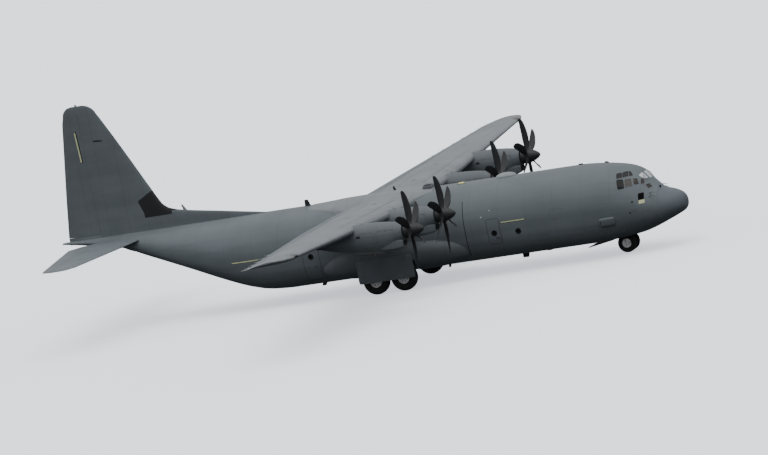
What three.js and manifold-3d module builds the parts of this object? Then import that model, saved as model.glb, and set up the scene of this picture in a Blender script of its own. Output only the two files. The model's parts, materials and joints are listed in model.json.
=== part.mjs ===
// Military transport plane: a high-winged cargo aircraft with four propellers, a rear ramp and tandem main wheels.
// Every size below is the real aircraft's, in metres. The model is half that size, in millimetres.
// Stations are metres aft of the nose tip. +X points to the nose, +Y to the left wing, +Z up.
import * as THREE from "three";
import { mergeVertices } from "three/addons/utils/BufferGeometryUtils.js";
import Module from "manifold-3d";

const wasm = await Module();
wasm.setup();

// Driving dimensions
const MODEL_MM = 500; // model millimetres for each metre of the real aircraft
const LENGTH = 34.37;
const SPAN = 40.41;
const TAIL_SPAN = 16.05;
const PROPELLER_RADIUS = 2.055;
const SEAT = 0.3 / MODEL_MM; // gap between touching pieces, 0.3 mm on the model
const CLEAR = 6 / MODEL_MM; // running gap round a moving piece, 6 mm on the model
const BEARING = 0.8 / MODEL_MM; // running gap round a pin or shaft, 0.8 mm on the model
const SKIN_FORWARD = 0.09;
const SKIN_CENTRE = 0.12;
const SKIN_AFT = 0.075;
const RADOME_JOINT = 1.3;
const FORWARD_JOINT = 6.3; // production joint behind the flight deck
const AFT_JOINT = 21.3; // production joint ahead of the ramp
const CAVITY_FRONT = 1.5;
const CAVITY_REAR = 31.3;
const FLOOR_Z = 1.03;
const FLIGHT_DECK_Z = 2.05;
const FAR = 30; // longer than the aircraft is wide, for cutting tools

const station = (s) => LENGTH / 2 - s;

// Colours by finish
const FINISH = {
  grey: { color: 0x6b7378, roughness: 0.75, metalness: 0.0 },
  darkGrey: { color: 0x3a3d40, roughness: 0.7, metalness: 0.0 },
  radome: { color: 0x666d72, roughness: 0.6, metalness: 0.0 },
  black: { color: 0x2a2a2c, roughness: 0.55, metalness: 0.0 },
  rubber: { color: 0x161616, roughness: 0.9, metalness: 0.0 },
  hub: { color: 0xc3c2bd, roughness: 0.45, metalness: 0.3 },
  steel: { color: 0x9a9da0, roughness: 0.35, metalness: 0.8 },
  glass: { color: 0x30383d, roughness: 0.1, metalness: 0.0 },
  cabin: { color: 0x777a74, roughness: 0.8, metalness: 0.0 },
};

// Solids

// A closed geometry as a solid that can be cut and joined, with its faces turned outwards.
function solid(geometry) {
  const bare = geometry.index ? geometry.toNonIndexed() : geometry.clone();
  bare.deleteAttribute("normal");
  bare.deleteAttribute("uv");
  const merged = mergeVertices(bare, 1e-6);
  const triVerts = new Uint32Array(merged.index.array);
  const vertProperties = merged.attributes.position.array;
  const made = new wasm.Manifold(new wasm.Mesh({ numProp: 3, vertProperties, triVerts }));
  if (made.volume() > 0) return made;
  for (let i = 0; i < triVerts.length; i += 3) {
    [triVerts[i + 1], triVerts[i + 2]] = [triVerts[i + 2], triVerts[i + 1]];
  }
  return new wasm.Manifold(new wasm.Mesh({ numProp: 3, vertProperties, triVerts }));
}

// Joins a list of solids into one.
const join = (...solids) => solids.reduce((all, one) => all.add(one));

// The largest of the bodies that a cut leaves.
function largest(cut) {
  return cut.decompose().reduce((best, one) => (one.volume() > best.volume() ? one : best));
}

// A skin through rings of points that all have the same count, closed at both ends by a fan.
// The first `mirroredSpans` spans are split along the other diagonal, as their mirror images are.
function loft(rings, mirroredSpans = 0) {
  const count = rings[0].length;
  const positions = rings.flat().flatMap((p) => [p.x, p.y, p.z]);
  const index = [];
  for (let k = 0; k + 1 < rings.length; k++) {
    for (let i = 0; i < count; i++) {
      const j = (i + 1) % count;
      const [a, b, c, d] = [k * count + i, k * count + j, (k + 1) * count + j, (k + 1) * count + i];
      if (k < mirroredSpans) index.push(a, b, d, b, c, d);
      else index.push(a, b, c, a, c, d);
    }
  }
  for (const [k, turn] of [[0, -1], [rings.length - 1, 1]]) {
    const centre = new THREE.Vector3();
    for (const p of rings[k]) centre.addScaledVector(p, 1 / count);
    const tip = positions.length / 3;
    positions.push(centre.x, centre.y, centre.z);
    for (let i = 0; i < count; i++) {
      const j = (i + 1) % count;
      if (turn > 0) index.push(k * count + i, k * count + j, tip);
      else index.push(k * count + j, k * count + i, tip);
    }
  }
  const geometry = new THREE.BufferGeometry();
  geometry.setAttribute("position", new THREE.Float32BufferAttribute(positions, 3));
  geometry.setIndex(index);
  return solid(geometry);
}

// A box between two stations, two widths and two heights.
function block([s0, s1], [y0, y1], [z0, z1]) {
  const geometry = new THREE.BoxGeometry(s1 - s0, y1 - y0, z1 - z0);
  return solid(geometry.translate(station((s0 + s1) / 2), (y0 + y1) / 2, (z0 + z1) / 2));
}

// A side outline of [station, height] points, carried across from y0 to y1.
function sidePrism(outline, y0, y1) {
  const rings = [y0, y1].map((y) => outline.map(([s, z]) => new THREE.Vector3(station(s), y, z)));
  return loft(rings);
}

// A plan outline of [station, y] points, carried up from z0 to z1.
function planPrism(outline, z0, z1) {
  const rings = [z0, z1].map((z) => outline.map(([s, y]) => new THREE.Vector3(station(s), y, z)));
  return loft(rings);
}

// A round bar between two points; a second radius makes it taper.
function bar(from, to, radius, endRadius = radius, sides = 20) {
  const axis = new THREE.Vector3().subVectors(to, from);
  const geometry = new THREE.CylinderGeometry(endRadius, radius, axis.length(), sides);
  const turn = new THREE.Quaternion().setFromUnitVectors(
    new THREE.Vector3(0, 1, 0), axis.clone().normalize());
  geometry.applyQuaternion(turn);
  const middle = new THREE.Vector3().addVectors(from, to).multiplyScalar(0.5);
  return solid(geometry.translate(middle.x, middle.y, middle.z));
}

const at = (s, y, z) => new THREE.Vector3(station(s), y, z);

// A turned shape: profile points are [radius, distance along the axis], and the axis starts at a point.
function turned(profile, start, direction, sides = 24) {
  const points = profile.map(([r, d]) => new THREE.Vector2(r, d));
  const geometry = new THREE.LatheGeometry(points, sides);
  const turn = new THREE.Quaternion().setFromUnitVectors(new THREE.Vector3(0, 1, 0), direction);
  geometry.applyQuaternion(turn);
  return solid(geometry.translate(start.x, start.y, start.z));
}

// A hinge pin, and the hole that it turns in, which is a little longer.
const pin = (from, to, radius) => bar(from, to, radius, radius, 16);
function pinHole(from, to, radius) {
  const reach = new THREE.Vector3().subVectors(to, from).setLength(CLEAR);
  return bar(from, to.clone().add(reach), radius + BEARING, radius + BEARING, 16);
}

// The same solid on the other side of the aircraft.
const mirrored = (one) => one.mirror([0, 1, 0]);
const onSide = (one, side) => (side > 0 ? one : mirrored(one));

// Fuselage

// A cross-section: rounded outline with its own top, bottom, half width, widest height and squareness.
// Columns: station, top, bottom, half width, widest height, upper power, lower power.
const FUSELAGE = [
  [0.0, 2.3, 2.02, 0.16, 2.15, 2.0, 2.0],
  [0.05, 2.47, 1.88, 0.36, 2.15, 2.0, 2.0],
  [0.2, 2.67, 1.72, 0.62, 2.14, 2.0, 2.0],
  [0.52, 2.85, 1.57, 0.92, 2.12, 2.0, 2.1],
  [1.15, 3.08, 1.33, 1.27, 2.12, 2.0, 2.2],
  [1.62, 3.62, 1.16, 1.49, 2.18, 1.75, 2.3],
  [1.95, 4.1, 1.06, 1.62, 2.28, 1.7, 2.4],
  [2.4, 4.37, 0.95, 1.77, 2.4, 1.8, 2.5],
  [3.17, 4.58, 0.87, 1.94, 2.53, 1.95, 2.9],
  [4.2, 4.73, 0.8, 2.08, 2.62, 2.05, 3.2],
  [5.3, 4.81, 0.78, 2.135, 2.68, 2.05, 3.4],
  [21.5, 4.81, 0.78, 2.135, 2.68, 2.05, 3.4],
  [22.8, 4.81, 0.86, 2.13, 2.72, 2.05, 3.4],
  [23.9, 4.81, 1.12, 2.1, 2.82, 2.05, 3.2],
  [25.0, 4.81, 1.54, 2.02, 3.02, 2.05, 3.0],
  [27.0, 4.81, 2.45, 1.76, 3.43, 2.1, 2.8],
  [29.4, 4.81, 3.5, 1.28, 4.0, 2.1, 2.6],
  [30.9, 4.81, 4.12, 0.9, 4.38, 2.1, 2.4],
  [32.4, 4.8, 4.38, 0.5, 4.58, 2.0, 2.2],
  [33.9, 4.79, 4.62, 0.18, 4.71, 2.0, 2.0],
  [34.37, 4.77, 4.69, 0.05, 4.73, 2.0, 2.0],
];
const RING_POINTS = 32;

// The row of a table at any station, worked out between the two nearest rows.
function rowAt(table, s) {
  let k = 0;
  while (k + 2 < table.length && table[k + 1][0] < s) k++;
  const part = (s - table[k][0]) / (table[k + 1][0] - table[k][0]);
  return table[k].map((value, column) => value + part * (table[k + 1][column] - value));
}

// One ring of the fuselage, moved in by a wall's thickness.
function fuselageRing([s, top, bottom, half, mid, upper, lower], inset) {
  return Array.from({ length: RING_POINTS }, (_, i) => {
    const angle = (2 * Math.PI * i) / RING_POINTS;
    const across = Math.cos(angle);
    const high = Math.sin(angle);
    const power = high >= 0 ? upper : lower;
    const height = (high >= 0 ? top - mid : mid - bottom) - inset;
    const y = Math.sign(across) * Math.abs(across) ** (2 / power) * (half - inset);
    const z = mid + Math.sign(high) * Math.abs(high) ** (2 / power) * height;
    return at(s, y, z);
  });
}

// The fuselage's body between two stations, moved in by the same wall all over.
function fuselageBody(inset, front = 0, rear = LENGTH) {
  const between = FUSELAGE.filter(([s]) => s > front + 0.01 && s < rear - 0.01);
  const rows = [rowAt(FUSELAGE, front), ...between, rowAt(FUSELAGE, rear)];
  return loft(rows.map((row) => fuselageRing(row, inset)));
}

const hull = fuselageBody(0);
const hullSeat = fuselageBody(-SEAT);
const hollowForward = fuselageBody(SKIN_FORWARD, CAVITY_FRONT, FORWARD_JOINT);
const hollowCentre = fuselageBody(SKIN_CENTRE, FORWARD_JOINT, AFT_JOINT);
const hollowAft = fuselageBody(SKIN_AFT, AFT_JOINT, CAVITY_REAR);
const between = (front, rear) => block([front, rear], [-FAR, FAR], [-FAR, FAR]);

// Wing

// Columns: span station, leading edge, chord, leading edge height, drop to the trailing edge, thickness.
const WING_KINK = 5.4; // where the straight middle of the wing ends and the taper begins
const WING = [
  [0.0, 14.15, 4.88, 4.38, 0.26, 0.18],
  [2.2, 14.15, 4.88, 4.38, 0.26, 0.18],
  [WING_KINK, 14.15, 4.88, 4.47, 0.3, 0.175],
  [10.2, 14.29, 4.08, 4.69, 0.29, 0.16],
  [19.3, 14.55, 2.56, 5.09, 0.26, 0.12],
  [19.9, 14.75, 2.1, 5.13, 0.22, 0.1],
  [SPAN / 2, 15.25, 1.1, 5.16, 0.12, 0.06],
];
const WING_POINTS = 12; // points on each of the upper and lower faces of an aerofoil

// One aerofoil section's outline as [part of the chord, height in chords], from the tail over the top.
function aerofoil(thickness, camber) {
  const outline = [];
  for (let i = 0; i <= 2 * WING_POINTS - 1; i++) {
    const turn = (Math.PI * (i + 0.5)) / WING_POINTS;
    const part = (1 + Math.cos(turn)) / 2;
    const side = Math.sin(turn) >= 0 ? 1 : -1;
    const half =
      5 * thickness * (0.2969 * Math.sqrt(part) - 0.126 * part - 0.3516 * part ** 2
        + 0.2843 * part ** 3 - 0.1015 * part ** 4) + 0.002;
    const bow = 4 * camber * part * (1 - part);
    outline.push([part, bow + side * half]);
  }
  return outline;
}

// A wing's ring at a span station, moved outwards by a gap.
function wingRing([y, leading, chord, height, drop, thickness], camber, grown = 0) {
  const flat = aerofoil(thickness, camber).map(([part, up]) => [
    leading + part * chord, height - part * drop + up * chord,
  ]);
  const count = flat.length;
  return flat.map(([s, z], i) => {
    const [s0, z0] = flat[(i + count - 1) % count];
    const [s1, z1] = flat[(i + 1) % count];
    const reach = Math.hypot(s1 - s0, z1 - z0);
    return at(s + (grown * (z0 - z1)) / reach * -1, y, z + (grown * (s1 - s0)) / reach * -1);
  });
}

const WING_CAMBER = 0.02;
const wingRows = (from, to) => {
  const inside = WING.filter(([y]) => y > from + 0.01 && y < to - 0.01);
  return [rowAt(WING, from), ...inside, rowAt(WING, to)];
};
const wingPart = (from, to, grown = 0) =>
  loft(wingRows(from, to).map((row) => wingRing(row, WING_CAMBER, grown)));

// The wing from one side to the other in one skin.
function wingAcross(reach, grown = 0) {
  const rows = wingRows(2.2, reach);
  const other = rows.map(([y, ...rest]) => [-y, ...rest]).reverse();
  return loft([...other, ...rows].map((row) => wingRing(row, WING_CAMBER, grown)), other.length);
}

// A point of the wing at a part of the chord, on the line from nose to tail.
function wingPoint(y, part) {
  const [, leading, chord, height, drop] = rowAt(WING, y);
  return { s: leading + part * chord, y, z: height - part * drop, chord };
}

// The low hump that fairs the middle of the wing into the fuselage's crown.
// Columns: station, half width, top.
const CROWN_FAIRING = [
  [13.3, 0.7, 4.82],
  [14.3, 1.35, 4.9],
  [15.6, 1.5, 4.94],
  [18.4, 1.4, 4.9],
  [20.2, 0.75, 4.82],
];
const CROWN_FAIRING_DEPTH = 0.12; // how far its foot reaches into the fuselage's crown
function crownFairing(grown) {
  const rings = CROWN_FAIRING.map(([s, half, top], k) => {
    const shift = k === 0 ? -grown : k === CROWN_FAIRING.length - 1 ? grown : 0;
    const edge = 4.81 - 0.26 * half ** 2; // height of the fuselage's skin at that half width
    const arc = Array.from({ length: 13 }, (_, i) => {
      const angle = (Math.PI * i) / 12;
      const y = (half + grown) * Math.cos(angle);
      return at(s + shift, y, edge + (top + grown - edge) * Math.sin(angle) ** 0.9);
    });
    const foot = edge - CROWN_FAIRING_DEPTH - grown;
    return [...arc, at(s + shift, -half - grown, foot), at(s + shift, half + grown, foot)];
  });
  return loft(rings);
}

const wholeWingSeat = wingAcross(SPAN / 2, SEAT).add(crownFairing(SEAT));

// Flaps and ailerons
const FLAP_PART = 0.7; // part of the chord where the flap begins
const AILERON_PART = 0.74;
const INNER_FLAP = [2.4, 5.36];
const OUTER_FLAP = [5.44, 12.3];
const AILERON = [12.75, 18.9];
const SWEPT_END_GAP = 0.035; // the hinge lines are swept, so the ends of what swings move outwards a little
const FLAP_TRACK_END_GAP = 0.08;
const FLAP_PIVOT_DROP = 0.45; // the flap swings on tracks as if about a point this far below it

// The wedge of space behind a line across the wing, between two span stations.
function behindLine([from, to], part, shift, endGap) {
  const outline = [from - endGap, to + endGap].map((y) => [wingPoint(y, part).s + shift, y]);
  return planPrism([outline[0], outline[1], [FAR, to + endGap], [FAR, from - endGap]], 2, 7);
}

// A tapered round nose along a hinge line.
function hingeNose([from, to], part, extra) {
  const [a, b] = [from, to].map((y) => {
    const [, , , , , thickness] = rowAt(WING, y);
    const point = wingPoint(y, part);
    return { centre: at(point.s, y, point.z + point.chord * WING_CAMBER * 0.75),
      radius: thickness * point.chord * 0.27 + extra };
  });
  const beyond = new THREE.Vector3().subVectors(b.centre, a.centre).multiplyScalar(0.01);
  const nose = bar(a.centre.sub(beyond), b.centre.add(beyond), a.radius, b.radius, 20);
  return nose.intersect(block([0, LENGTH], [from, to], [0, 9]));
}

// Each flap runs on curved tracks that slide in slots in the wing. A track is part of a ring round the
// flap's pivot line.
const TRACK = { radius: 0.5, depth: 0.03, width: 0.06, angle: 44, sides: 48 };
const FLAP_TRACKS = [0.15, 0.85]; // places along a flap
function flapTracks([from, to], grown, reach) {
  const [a, b] = [from, to].map((y) => {
    const point = wingPoint(y, FLAP_PART);
    return at(point.s, y, point.z - FLAP_PIVOT_DROP);
  });
  const axis = new THREE.Vector3().subVectors(b, a).normalize();
  const inner = TRACK.radius - TRACK.depth / 2 - grown;
  const outer = TRACK.radius + TRACK.depth / 2 + grown;
  const half = TRACK.width / 2 + grown;
  const profile = [[inner, -half], [outer, -half], [outer, half], [inner, half], [inner, -half]];
  const forward = TRACK.radius * Math.sin(THREE.MathUtils.degToRad(TRACK.angle)) + grown;
  return join(...FLAP_TRACKS.map((part) => {
    const centre = new THREE.Vector3().lerpVectors(a, b, part);
    const s = LENGTH / 2 - centre.x;
    const space = block([s - forward, s + reach], [centre.y - 1, centre.y + 1], [centre.z + 0.1, centre.z + 1]);
    return turned(profile, centre, axis, TRACK.sides).intersect(space);
  }));
}
const flapCut = (range) => behindLine(range, FLAP_PART, -CLEAR, CLEAR);
const flap = (range) => wingPart(...range)
  .intersect(behindLine(range, FLAP_PART, 0, 0))
  .add(flapTracks(range, 0, 0.05));
const HINGE_PIN = { radius: 0.025, reach: 0.1 }; // of the ailerons, elevators and rudder
function aileronPins(make) {
  const [a, b] = AILERON.map((y) => {
    const point = wingPoint(y, AILERON_PART);
    return at(point.s, y, point.z + point.chord * WING_CAMBER * 0.75);
  });
  const along = new THREE.Vector3().subVectors(b, a).setLength(HINGE_PIN.reach);
  return join(
    make(a.clone().add(along), a.clone().sub(along), HINGE_PIN.radius),
    make(b.clone().sub(along), b.clone().add(along), HINGE_PIN.radius));
}
const aileronCut = join(
  behindLine(AILERON, AILERON_PART, 0, SWEPT_END_GAP),
  hingeNose([AILERON[0] - SWEPT_END_GAP, AILERON[1] + SWEPT_END_GAP], AILERON_PART, CLEAR * 2.2));
const aileron = wingPart(...AILERON).intersect(
  join(behindLine(AILERON, AILERON_PART, 0, 0), hingeNose(AILERON, AILERON_PART, 0)))
  .add(aileronPins(pin));

const wingCentre = wingAcross(WING_KINK)
  .add(crownFairing(0))
  .subtract(flapCut([INNER_FLAP[0], WING_KINK + 1]))
  .subtract(mirrored(flapCut([INNER_FLAP[0], WING_KINK + 1])))
  .subtract(flapTracks(INNER_FLAP, BEARING, 0.05))
  .subtract(mirrored(flapTracks(INNER_FLAP, BEARING, 0.05)));
const outerWing = wingPart(WING_KINK + SEAT, SPAN / 2)
  .subtract(flapCut([WING_KINK - 1, OUTER_FLAP[1] + FLAP_TRACK_END_GAP]))
  .subtract(aileronCut)
  .subtract(flapTracks(OUTER_FLAP, BEARING, 0.05))
  .subtract(aileronPins(pinHole));

// Engines, nacelles and propellers

// Columns: name, span station, height of the propeller's axis.
const ENGINES = [
  ["left_outer", 10.11, 4.26],
  ["left_inner", 4.91, 4.03],
  ["right_inner", -4.91, 4.03],
  ["right_outer", -10.11, 4.26],
];
// Columns: station, top above the axis, bottom below the axis, half width, widest height above the axis.
const NACELLE = [
  [11.84, 0.42, 0.5, 0.42, -0.02],
  [12.1, 0.49, 0.72, 0.5, -0.06],
  [12.6, 0.58, 0.9, 0.58, -0.12],
  [13.3, 0.64, 0.95, 0.62, -0.15],
  [14.2, 0.66, 0.86, 0.62, -0.14],
  [15.0, 0.55, 0.68, 0.55, -0.14],
  [16.4, 0.1, 0.36, 0.3, -0.16],
];
const NACELLE_POINTS = 20;
const ENGINE_RADIUS = 0.34;
const ENGINE_FRONT = 12.2;
const ENGINE_REAR = 14.0;
const SHAFT_RADIUS = 0.09;
const SHAFT_TIP = 11.5;
const PROPELLER_STATION = 11.45;
const SPINNER_BASE = 11.78;

function nacelle(y, axis) {
  const rings = NACELLE.map(([s, top, bottom, half, mid]) =>
    Array.from({ length: NACELLE_POINTS }, (_, i) => {
      const angle = (2 * Math.PI * i) / NACELLE_POINTS;
      const high = Math.sin(angle);
      const height = high >= 0 ? top - mid : bottom + mid;
      return at(s, y + half * Math.cos(angle), axis + mid + height * high);
    }));
  const bore = bar(at(ENGINE_REAR, y, axis), at(11, y, axis), ENGINE_RADIUS, ENGINE_RADIUS, 24);
  return largest(loft(rings).subtract(wholeWingSeat).subtract(bore));
}

function engine(y, axis) {
  const casing = bar(at(ENGINE_REAR - SEAT, y, axis), at(ENGINE_FRONT, y, axis),
    ENGINE_RADIUS - SEAT, ENGINE_RADIUS - SEAT, 24);
  return join(casing, bar(at(13, y, axis), at(SHAFT_TIP, y, axis), SHAFT_RADIUS));
}

// Columns: radius, chord, thickness, pitch in degrees, sweep back of the middle of the chord.
const BLADE = [
  [0.22, 0.2, 0.14, 62, 0.0],
  [0.6, 0.31, 0.07, 53, 0.02],
  [1.1, 0.38, 0.045, 41, 0.03],
  [1.6, 0.36, 0.03, 32, -0.02],
  [1.93, 0.26, 0.02, 27, -0.09],
  [PROPELLER_RADIUS, 0.13, 0.014, 25, -0.15],
];
const BLADE_COUNT = 6;
const BLADE_POINTS = 6;

function propeller(y, axis) {
  const rings = BLADE.map(([radius, chord, thickness, pitch, sweep]) =>
    Array.from({ length: BLADE_POINTS }, (_, i) => {
      const angle = (2 * Math.PI * i) / BLADE_POINTS;
      const along = (chord / 2) * Math.cos(angle) + sweep;
      const through = (thickness / 2) * Math.sin(angle);
      const lean = THREE.MathUtils.degToRad(pitch);
      return new THREE.Vector3(
        along * Math.sin(lean) + through * Math.cos(lean),
        along * Math.cos(lean) - through * Math.sin(lean), radius);
    }));
  const blade = loft(rings);
  const spinner = turned(
    [[0, 0], [0.37, 0], [0.375, 0.3], [0.33, 0.56], [0.22, 0.81], [0.1, 0.97], [0, 1.02]],
    new THREE.Vector3(PROPELLER_STATION - SPINNER_BASE, 0, 0), new THREE.Vector3(1, 0, 0), 18);
  const blades = Array.from({ length: BLADE_COUNT }, (_, i) => blade.rotate([(360 / BLADE_COUNT) * i, 0, 0]));
  const place = at(PROPELLER_STATION, y, axis);
  const bore = bar(at(SPINNER_BASE + 1, y, axis), at(SHAFT_TIP - BEARING, y, axis), SHAFT_RADIUS + BEARING);
  return join(spinner, ...blades).translate([place.x, place.y, place.z]).subtract(bore);
}

// Fin, rudder and tailplane
const FIN_FOOT = 4.5;
const RUDDER_FOOT = 4.97;
const RUDDER_HINGE = 32.15;
// Columns: height, leading edge, trailing edge, half thickness.
const FIN = [
  [FIN_FOOT, 27.62, 34.02, 0.26],
  [6.99, 28.86, 33.67, 0.235],
  [10.98, 30.85, 33.05, 0.13],
  [11.55, 31.17, 32.88, 0.1],
  [11.79, 31.5, 32.65, 0.06],
  [11.85, 31.75, 32.4, 0.03],
];
const FIN_PARTS = [0, 0.04, 0.15, 0.35, 0.6, 0.82, 1];

const THIN_EDGE = 0.006; // half the thickness of a trailing edge
// Part of the fin's thickness at each part of its chord.
const finShape = (part) => 1.65 * Math.sqrt(part) * (1 - part) ** 0.75;

function finBody(grown) {
  const rings = FIN.map(([z, leading, trailing, half], k) => {
    const lift = k === FIN.length - 1 ? grown : 0;
    const right = FIN_PARTS.map((part) => at(
      leading - grown + part * (trailing - leading + 2 * grown),
      -Math.max(half * finShape(part) + grown, THIN_EDGE), z + lift));
    const left = [...right].reverse().map((p) => new THREE.Vector3(p.x, -p.y, p.z));
    return [...right, ...left];
  });
  return loft(rings);
}

// The long low fin ahead of the main one.
// Columns: station, half thickness, top.
const DORSAL = [
  [22.7, 0.05, 4.82],
  [28.0, 0.13, 5.72],
  [28.3, 0.16, 5.98],
  [28.75, 0.2, 6.72],
  [29.6, 0.2, 6.9],
];
function dorsalFin() {
  return loft(DORSAL.map(([s, half, top]) => [
    at(s, half, FIN_FOOT), at(s, half, top - 0.1), at(s, half * 0.4, top),
    at(s, -half * 0.4, top), at(s, -half, top - 0.1), at(s, -half, FIN_FOOT)]));
}

// Columns: span station, leading edge, trailing edge, thickness.
const TAIL_Z = 4.5;
const ELEVATOR_HINGE = 32.05;
const TAILPLANE = [
  [0, 29.5, 33.82, 0.4],
  [7.4, 30.9, 32.72, 0.17],
  [7.85, 31.15, 32.6, 0.12],
  [TAIL_SPAN / 2, 31.5, 32.4, 0.06],
];
function tailRing([y, leading, trailing, thick], grown) {
  const over = FIN_PARTS.map((part) => at(
    leading - grown + part * (trailing - leading + 2 * grown), y,
    TAIL_Z + Math.max((thick / 2) * finShape(part) + grown, THIN_EDGE)));
  const under = [...over].reverse().map((p) => new THREE.Vector3(p.x, p.y, 2 * TAIL_Z - p.z));
  return [...over, ...under];
}
const tailHalf = () => loft(TAILPLANE.map((row) => tailRing(row, 0)));
function wholeTail(grown, reach = TAILPLANE.length) {
  const rows = TAILPLANE.slice(0, reach);
  const other = rows.slice(1).map(([y, ...rest]) => [-y, ...rest]).reverse();
  return loft([...other, ...rows].map((row) => tailRing(row, grown)), other.length);
}
const TAIL_LIP = 0.08; // how far the tailplane's middle reaches behind the elevators' hinge line
const tailplaneSeat = wholeTail(SEAT).intersect(between(0, ELEVATOR_HINGE + TAIL_LIP + SEAT));

// Radii of the rounded noses at both ends; each is a little more than half the thickness there.
const RUDDER_NOSE = [0.165, 0.085];
const ELEVATOR_NOSE = [0.135, 0.06];
const ELEVATOR = [0.7, 7.75];
const ELEVATOR_SLANT = 0.3; // how far the elevator's inner end slants outwards, per metre aft
const TAIL_SKIN = 0.035;

const rudderNose = (extra) => bar(at(RUDDER_HINGE, 0, RUDDER_FOOT - extra), at(RUDDER_HINGE, 0, 11.4 + extra),
  RUDDER_NOSE[0] + extra * 1.3, RUDDER_NOSE[1] + extra * 1.3, 20);
const rudderSpace = (shift, extra) => join(
  block([RUDDER_HINGE + shift, 36], [-2, 2], [RUDDER_FOOT - extra, 11.4 + extra]), rudderNose(extra));
const rudderPins = (make) => join(
  make(at(RUDDER_HINGE, 0, RUDDER_FOOT + 0.05), at(RUDDER_HINGE, 0, RUDDER_FOOT - HINGE_PIN.reach), HINGE_PIN.radius),
  make(at(RUDDER_HINGE, 0, 11.35), at(RUDDER_HINGE, 0, 11.4 + HINGE_PIN.reach), HINGE_PIN.radius));
const rudder = finBody(0).intersect(rudderSpace(0, 0)).add(rudderPins(pin));
const finCore = finBody(-TAIL_SKIN).intersect(block([27, RUDDER_HINGE - 0.35], [-2, 2], [3, 11.2]));
const fin = largest(join(finBody(0), dorsalFin())
  .subtract(rudderSpace(0, CLEAR))
  .subtract(block([RUDDER_HINGE + 0.08, 36], [-2, 2], [3, RUDDER_FOOT]))
  .subtract(rudderPins(pinHole))
  .subtract(finCore)
  .subtract(hullSeat)
  .subtract(tailplaneSeat));

const elevatorOutline = (extra) => [
  [ELEVATOR_HINGE, ELEVATOR[0] - extra], [36, ELEVATOR[0] - extra + ELEVATOR_SLANT * (36 - ELEVATOR_HINGE)],
  [36, ELEVATOR[1] + extra], [ELEVATOR_HINGE, ELEVATOR[1] + extra]];
const elevatorNose = (extra) => bar(
  at(ELEVATOR_HINGE, ELEVATOR[0] - extra, TAIL_Z), at(ELEVATOR_HINGE, ELEVATOR[1] + extra, TAIL_Z),
  ELEVATOR_NOSE[0] + extra * 1.3, ELEVATOR_NOSE[1] + extra * 1.3, 20);
const elevatorPins = (make) => join(
  make(at(ELEVATOR_HINGE, ELEVATOR[0] + 0.05, TAIL_Z),
    at(ELEVATOR_HINGE, ELEVATOR[0] - HINGE_PIN.reach, TAIL_Z), HINGE_PIN.radius),
  make(at(ELEVATOR_HINGE, ELEVATOR[1] - 0.05, TAIL_Z),
    at(ELEVATOR_HINGE, ELEVATOR[1] + HINGE_PIN.reach, TAIL_Z), HINGE_PIN.radius));
const elevator = tailHalf().intersect(join(planPrism(elevatorOutline(0), 3, 6), elevatorNose(0)))
  .add(elevatorPins(pin));
const elevatorCut = join(planPrism(elevatorOutline(CLEAR), 3, 6), elevatorNose(CLEAR));
const tailCore = wholeTail(-TAIL_SKIN, 2).intersect(block([29, ELEVATOR_HINGE - 0.3], [-7, 7], [3, 6]));
const tailVent = block([30.6, 31.4], [-0.2, 0.2], [4.2, TAIL_Z]);
const tailplane = largest(wholeTail(0)
  .subtract(block([ELEVATOR_HINGE + TAIL_LIP, 36], [-ELEVATOR[0], ELEVATOR[0]], [3, 6]))
  .subtract(elevatorCut)
  .subtract(mirrored(elevatorCut))
  .subtract(elevatorPins(pinHole))
  .subtract(mirrored(elevatorPins(pinHole)))
  .subtract(tailCore)
  .subtract(tailVent));

// Doors and hatches in the fuselage

// Columns: name, front station, rear station, bottom, top, side, running gap, wall.
const SIDE_DOORS = [
  ["crew_door", 4.85, 5.65, 1.12, 2.42, 1, CLEAR, SKIN_FORWARD],
  ["emergency_hatch", 9.55, 10.25, 1.72, 3.02, -1, SEAT, SKIN_CENTRE],
  ["paratroop_door_left", 19.58, 20.5, 1.2, 2.98, 1, SEAT, SKIN_CENTRE],
  ["paratroop_door_right", 19.58, 20.5, 1.2, 2.98, -1, SEAT, SKIN_CENTRE],
];
const DOOR_WINDOW_RADIUS = 0.13;
const doorSpace = ([, front, rear, low, high, side], extra) => block(
  [front - extra, rear + extra], side > 0 ? [0.9, 4] : [-4, -0.9], [low - 2 * extra, high + extra]);
const CREW_HINGE = { y: 1.72, z: 1.13, radius: 0.015, reach: 0.08 }; // the crew door swings down about this line
function crewDoorPins(make) {
  const { y, z, radius, reach } = CREW_HINGE;
  const [, front, rear] = SIDE_DOORS[0];
  return join(
    make(at(front + 0.03, y, z), at(front - reach, y, z), radius),
    make(at(rear - 0.03, y, z), at(rear + reach, y, z), radius));
}

// Ramp and cargo door: the ramp's upper face is flat, and the door is the skin of the upswept tail.
const RAMP = [21.66, 24.97];
const RAMP_HALF = 1.5;
const RAMP_TOP = [FLOOR_Z, 1.82]; // at its front and rear
const RAMP_REAR_SLANT = 0.2; // how far its rear face leans forward from bottom to top
const DOOR = [24.99, 29.2];
const DOOR_HALF = [1.5, 0.95];
const DOOR_TOP = [2.05, 3.88]; // the highest that the door reaches at its front and rear

const rampSpace = (extra) => sidePrism([
  [RAMP[0] - extra, 0], [RAMP[1] + extra, 0], [RAMP[1] + extra, 1.5],
  [RAMP[1] - RAMP_REAR_SLANT + extra, RAMP_TOP[1] + extra],
  [RAMP[0] - extra, RAMP_TOP[0] + extra]], -RAMP_HALF - extra, RAMP_HALF + extra);
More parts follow.
